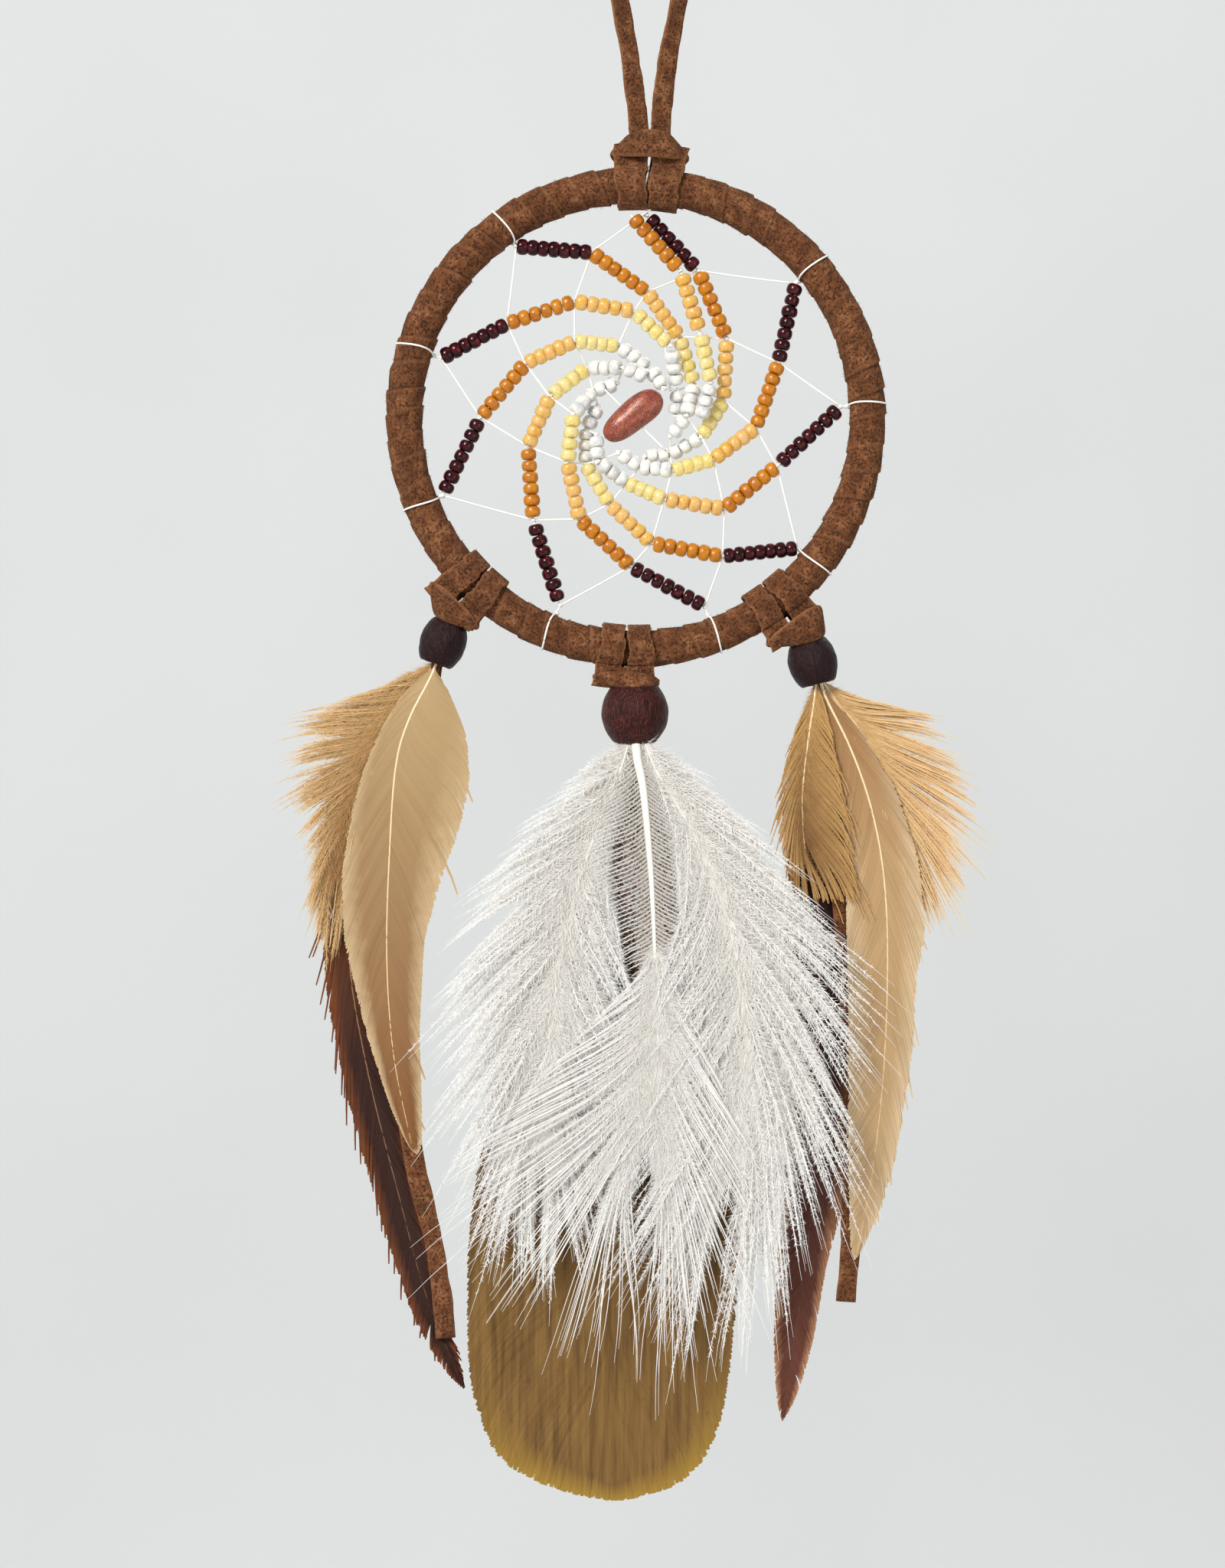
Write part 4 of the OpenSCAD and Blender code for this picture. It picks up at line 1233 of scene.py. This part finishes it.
def make_down(name, node, slot, spine, paint, quill, seed, count, barbules, long, width=0.20,
              hair=0.13, quill_w=(0.5, 0.16), wave=0.5, bare=0.9, forward=0.9, edges=None, **form):
    """A downy plume: loose wavy barbs with fine hairs, and bare spiky tips."""
    rng = np.random.default_rng(seed)
    shape = Shape()
    line = spine_of(spine)
    for path, clump, root in both_sides(node, line, edges, rng, count, steps=12, **form):
        t = np.linspace(0, 1, path.shape[1])[None, :]
        for axis, size in ((0, wave), (1, wave * 1.2), (2, wave)):
            phase, pitch = rng.random((2, len(path), 1))
            shared = rng.random((clump.max() + 1, 1))[clump] * 6
            swing = np.sin(t * (2.5 + 3 * pitch) + shared + phase * 1.6) * t * (1.3 - t)
            path[..., axis] += size * MM * swing
        add_barbs(shape, path, rng, width, width * 0.45, 0.1, 0.8, root, clump)
        add_barbules(shape, path, rng, barbules // 2, long, hair, root, forward, bare=bare)
    add_quill(shape, line, *quill_w)
    hang_feather(shape, name, node, slot, paint, quill)


# the form that the golden plumes of both side drops share
GOLD_DOWN = dict(start=0.02, lead=0.02, ragged=0.10, deep=0.6, wave=0.5, wild=0.10)


def make_left_feathers():
    tan = barb_paint("tan_barbs", (0.25, srgb(190, 156, 110), 0.95, srgb(150, 100, 56)),
                     (0.55, 1.0, srgb(218, 190, 146)), (0.08, 0.3, srgb(204, 174, 126)), spread=0.09)
    make_vane("left_cream_feather", "left_tan_feather", "feather_tan",
        [[-35.4, 1.4, -42.6], [-36.8, 0.8, -46.5], [-40.6, 0.3, -54], [-42.9, 0.1, -62],
         [-44.0, 0.1, -76], [-44.6, 0.2, -96], [-43.4, 0.4, -114], [-40.2, 0.6, -130]],
        tan, PALE_QUILL, 101, 420, 0.72, start=0.03, lead=0.03, power=0.62, leave=26,
        curl=0.35, size=40, pull=0.02, drift=0.0005, cup=0.5, deep=0.03, roll=0.08,
        ragged=0.025, wild=0.006)
    gold = barb_paint("gold_down", (0.1, srgb(234, 194, 130), 0.9, srgb(184, 124, 62)),
                      (0.2, 1.0, srgb(244, 212, 152)))
    for layer, y in enumerate((0.0, 0.7)):
        make_down("left_gold_down_%d" % layer, "left_fluff_feather", "feather_gold",
            [[-35.6, 1.9, -42.8], [-38.4, 1.9 + y, -47.5], [-44, 1.8 + y, -55],
             [-49.5, 1.7 + y, -66], [-53, 1.7 + y, -80], [-55, 1.7 + y, -95]],
            gold, PALE_QUILL, 102 + layer, 190, 26000, 2.8, hair=0.09, end=0.75, power=0.85,
            leave=26, curl=0.15, size=9, pull=0.3, drift=0.015, forward=1.4, **GOLD_DOWN)
    brown = barb_paint("brown_barbs", (0.30, srgb(124, 68, 34), 0.55, srgb(60, 28, 16)),
                       (0.50, 1.0, srgb(134, 72, 34)), (0.05, 0.35, srgb(186, 128, 72)), spread=0.12)
    make_vane("left_brown_hackle", "left_brown_feather", "feather_brown",
        [[-35.8, 2.4, -42.8], [-38.6, 3.0, -50], [-45, 3.1, -64], [-50.2, 3.1, -80],
         [-51.5, 3.1, -97], [-48.3, 3.1, -117], [-42.8, 3.1, -139], [-37.6, 3.1, -158],
         [-30.9, 3.1, -174.2]],
        brown, DARK_QUILL, 103, 420, 0.60, start=0.04, lead=0.06, power=0.72, leave=16,
        curl=0.3, size=18, pull=0.12, drift=0.002, cup=0.3, deep=0.12, ragged=0.06,
        wild=0.05)


def make_center_feathers():
    grey = barb_paint("grey_barbs", (0.1, srgb(226, 220, 210), 0.9, srgb(234, 229, 222)),
                      (0.2, 1.0, srgb(246, 244, 240)))
    make_down("center_open_feather", "center_striped_feather", "feather_striped",
        [[-0.2, -2.2, -55.5], [0.2, -5.6, -61], [1.3, -7.4, -67], [2.6, -7.9, -81.5],
         [3.3, -7.7, -96], [3.6, -7.0, -106]],
        grey, WHITE_QUILL, 111, 62, 13000, 1.3, width=0.26, hair=0.07, quill_w=(1.9, 0.35),
        start=0.10, lead=0.13, leave=48, curl=0.1, size=3, pull=0.1, drift=0.004,
        ragged=0.05, deep=0.2, wave=0.15)
    white = barb_paint("white_down", (0.0, srgb(246, 243, 238), 1.0, srgb(249, 247, 243)),
                       (0.2, 1.0, srgb(253, 252, 250)), spread=0.07, sheen=0.3, through=0.42)
    left_edges = (plate_edge("center_left_plume", -1),
                  drawn_edge((-1.8, -61), (-5.8, -70), (-8.2, -80), (-7.4, -89), (-4.2, -98),
                             (0.8, -107), (1.4, -122), (-1.6, -144), (-9.8, -156), (-18, -158)))
    right_edges = (drawn_edge((2.0, -61), (6.4, -70), (9.4, -80), (10.2, -91), (8.4, -101),
                              (3.6, -110), (-3.6, -123), (-9.0, -140), (-6.0, -156), (8, -171)),
                   plate_edge("center_right_plume", 1))
    for layer, y in enumerate((0.0, -1.3)):
        loose = dict(start=0.02, quill_w=(0.3, 0.1), lead=0.02, end=0.9, power=0.68, leave=24,
                     curl=0.1, size=6, pull=0.4, drift=0.02, ragged=0.16 + 0.10 * layer, deep=0.9,
                     wave=1.3, wild=0.10)
        make_down("center_left_marabou_%d" % layer, "center_left_plume", "feather_white",
            [[-0.9, -2.6, -56], [-2.4, -4.4 + y, -62], [-6.4, -5.4 + y, -72],
             [-11, -6.0 + y, -86], [-14.5, -6.2 + y, -104], [-16.4, -6.2 + y, -122],
             [-17.0, -6.0 + y, -138]],
            white, WHITE_QUILL, 131 + layer, 150, 38000, 2.9, edges=left_edges, **loose)
        make_down("center_right_marabou_%d" % layer, "center_right_plume", "feather_white",
            [[0.9, -2.8, -56], [3.4, -4.8 + y, -63], [9.8, -6.0 + y, -74],
             [16.2, -6.8 + y, -90], [19.0, -7.0 + y, -108], [18.4, -6.8 + y, -126],
             [15.6, -6.4 + y, -142]],
            white, WHITE_QUILL, 141 + layer, 160, 38000, 3.0, edges=right_edges, **loose)
    low_edges = (drawn_edge((2.2, -100), (-10, -110), (-25, -125), (-39, -139), (-34, -151),
                            (-20, -164), (-9, -170), (0, -172)),
                 drawn_edge((5, -100), (13, -113), (20, -132), (21, -148), (18, -159), (13, -167),
                            (5, -170), (0, -171)))
    make_down("center_low_marabou", "center_right_plume", "feather_white",
        [[0.6, -1.6, -56], [0.8, -3.8, -66], [2.4, -5.8, -84], [4.0, -8.6, -102],
         [3.2, -9.2, -118], [1.2, -8.6, -134]],
        white, WHITE_QUILL, 151, 120, 34000, 2.6, hair=0.11, width=0.24, edges=low_edges,
        quill_w=(0.4, 0.1), start=0.48, lead=0.03, end=0.93, power=0.9, leave=26, curl=0.05,
        size=5, pull=0.3, drift=0.01, ragged=0.14, deep=0.8, wave=0.6, wild=0.12, bare=0.55)
    make_vane("center_olive_vane", "center_olive_feather", "feather_olive",
        [[-0.4, -1.6, -55.5], [-0.8, -1.4, -66], [-2.4, -1.3, -90], [-4.0, -1.2, -120],
         [-4.7, -1.1, -150], [-4.3, -1.0, -178]],
        olive_paint(), PALE_QUILL, 114, 480, 1.0, quill_w=(0.8, 0.06), start=0.05, lead=0.03,
        power=0.66, leave=7, curl=0.5, size=12, pull=0.0, drift=0.0, ragged=0.014,
        deep=0.02, roll=0.05, taper=0.4)


def make_right_feathers():
    gold = barb_paint("gold_barbs", (0.2, srgb(208, 164, 100), 0.8, srgb(138, 90, 46)),
                      (0.3, 1.0, srgb(222, 178, 112)), spread=0.14)
    make_vane("right_gold_brush", "right_gold_feather", "feather_gold",
        [[32.3, 1.0, -46.2], [32.0, 0.7, -50], [30.8, 0.3, -58], [29.8, 0.2, -68],
         [30.4, 0.3, -78], [33, 0.4, -86]],
        gold, PALE_QUILL, 121, 290, 0.34, start=0.02, lead=0.03, end=0.7, power=0.85, leave=14,
        curl=0.4, size=7, pull=0.3, drift=0.01, ragged=0.08, deep=0.35, fluff=5000, wild=0.1)
    tan = barb_paint("right_tan_barbs", (0.25, srgb(206, 168, 118), 0.9, srgb(212, 180, 134)),
                     (0.4, 1.0, srgb(232, 208, 168)), (0.08, 0.32, srgb(178, 132, 84)), spread=0.12)
    make_vane("right_tan_hackle", "right_tan_feather", "feather_tan",
        [[32.8, 1.4, -46.2], [34.0, 1.3, -50], [38.6, 1.1, -59.5], [42.2, 1.0, -70],
         [44.4, 1.0, -82], [45.1, 1.0, -97], [44.4, 1.1, -117], [42.4, 1.2, -135],
         [39.6, 1.3, -150]],
        tan, PALE_QUILL, 122, 420, 0.62, start=0.03, lead=0.03, power=0.65, leave=16,
        curl=0.3, size=14, pull=0.12, drift=0.002, cup=0.4, deep=0.10, roll=0.2,
        ragged=0.04, wild=0.04)
    down = barb_paint("right_gold_down", (0.1, srgb(234, 196, 136), 0.9, srgb(240, 206, 150)),
                      (0.2, 1.0, srgb(248, 220, 168)))
    for layer, y in enumerate((0.0, 0.7)):
        make_down("right_gold_plume_%d" % layer, "right_fluff_feather", "feather_gold",
            [[33.0, 2.1, -46.4], [36, 2.4 + y, -50.5], [41.5, 2.5 + y, -58],
             [45.4, 2.5 + y, -68], [48.4, 2.5 + y, -80], [50.4, 2.5 + y, -92]],
            down, PALE_QUILL, 123 + layer, 220, 12000, 2.0, width=0.24, hair=0.085, end=0.6,
            power=0.8, leave=18, curl=0.1, size=8, pull=0.35, drift=0.012, forward=1.6,
            **GOLD_DOWN)
    dark = barb_paint("chestnut_barbs", (0.45, srgb(56, 28, 24), 0.85, srgb(112, 62, 46)),
                      (0.60, 1.0, srgb(200, 144, 104)), spread=0.08)
    make_vane("right_chestnut_feather", "right_dark_feather", "feather_chestnut",
        [[32.6, 2.8, -46.4], [32.8, 3.6, -51], [32.6, 3.8, -75], [33.0, 3.8, -105],
         [32.0, 3.8, -138], [29.4, 3.8, -160], [26.6, 3.8, -179.6]],
        dark, DARK_QUILL, 124, 420, 0.60, start=0.04, lead=0.06, power=0.75, leave=14,
        curl=0.4, size=20, pull=0.1, drift=0.002, cup=0.2, deep=0.1, ragged=0.03)


make_left_feathers()
make_center_feathers()
make_right_feathers()


# ---------------------------------------------------------------- stage
def make_stage():
    """A pale sweep: a floor, a round cove and a wall far behind the object."""
    wall_y, floor_z, cove, half = 1.25, -0.85, 0.35, 3.0
    a = np.radians(np.linspace(0, 90, 13))
    y = np.concatenate([[-3.0], wall_y - cove + cove * np.sin(a), [wall_y]])
    z = np.concatenate([[floor_z], floor_z + cove - cove * np.cos(a), [2.0]])
    points, faces = [], []
    for i in range(len(y)):
        points += [(-half, y[i], z[i]), (half, y[i], z[i])]
    for i in range(len(y) - 1):
        faces.append((2 * i, 2 * i + 1, 2 * i + 3, 2 * i + 2))
    mesh = bpy.data.meshes.new("sweep")
    mesh.from_pydata(points, [], faces)
    mesh.polygons.foreach_set("use_smooth", np.full(len(faces), True))
    p = Paint("pale_wall", srgb(207, 209, 208), 0.9)
    p.set("Base Color", p.ramp(p.noise(0.004, 2, 0.5), (0.3, srgb(205, 207, 206)),
                                (0.7, srgb(209, 211, 210))))
    mesh.materials.append(p.material)
    sweep = bpy.data.objects.new("sweep", mesh)
    bpy.context.scene.collection.objects.link(sweep)


def make_lights():
    world = bpy.data.worlds.new("studio")
    world.use_nodes = True
    back = world.node_tree.nodes["Background"]
    back.inputs["Color"].default_value = (*srgb(242, 242, 241), 1)
    back.inputs["Strength"].default_value = 0.46
    bpy.context.scene.world = world
    target = Vector(from_hoop([0, 0, -60]))
    for name, place, size, power in (("key", (-1.4, -2.4, 1.3), 1.1, 112.0),
                                     ("fill", (1.6, -1.8, -0.4), 1.6, 14.0),
                                     ("rim", (0.6, 1.0, 0.9), 0.8, 4.0)):
        data = bpy.data.lights.new(name, "AREA")
        data.size = size
        data.energy = power
        lamp = bpy.data.objects.new(name, data)
        lamp.location = place
        lamp.rotation_mode = "QUATERNION"
        lamp.rotation_quaternion = (Vector(place) - target).to_track_quat("Z", "Y")
        bpy.context.scene.collection.objects.link(lamp)


make_stage()
make_lights()
bpy.context.scene.view_settings.view_transform = "Standard"
bpy.context.scene.cycles.diffuse_bounces = 8       # light wanders far inside white down
bpy.context.scene.cycles.max_bounces = 14
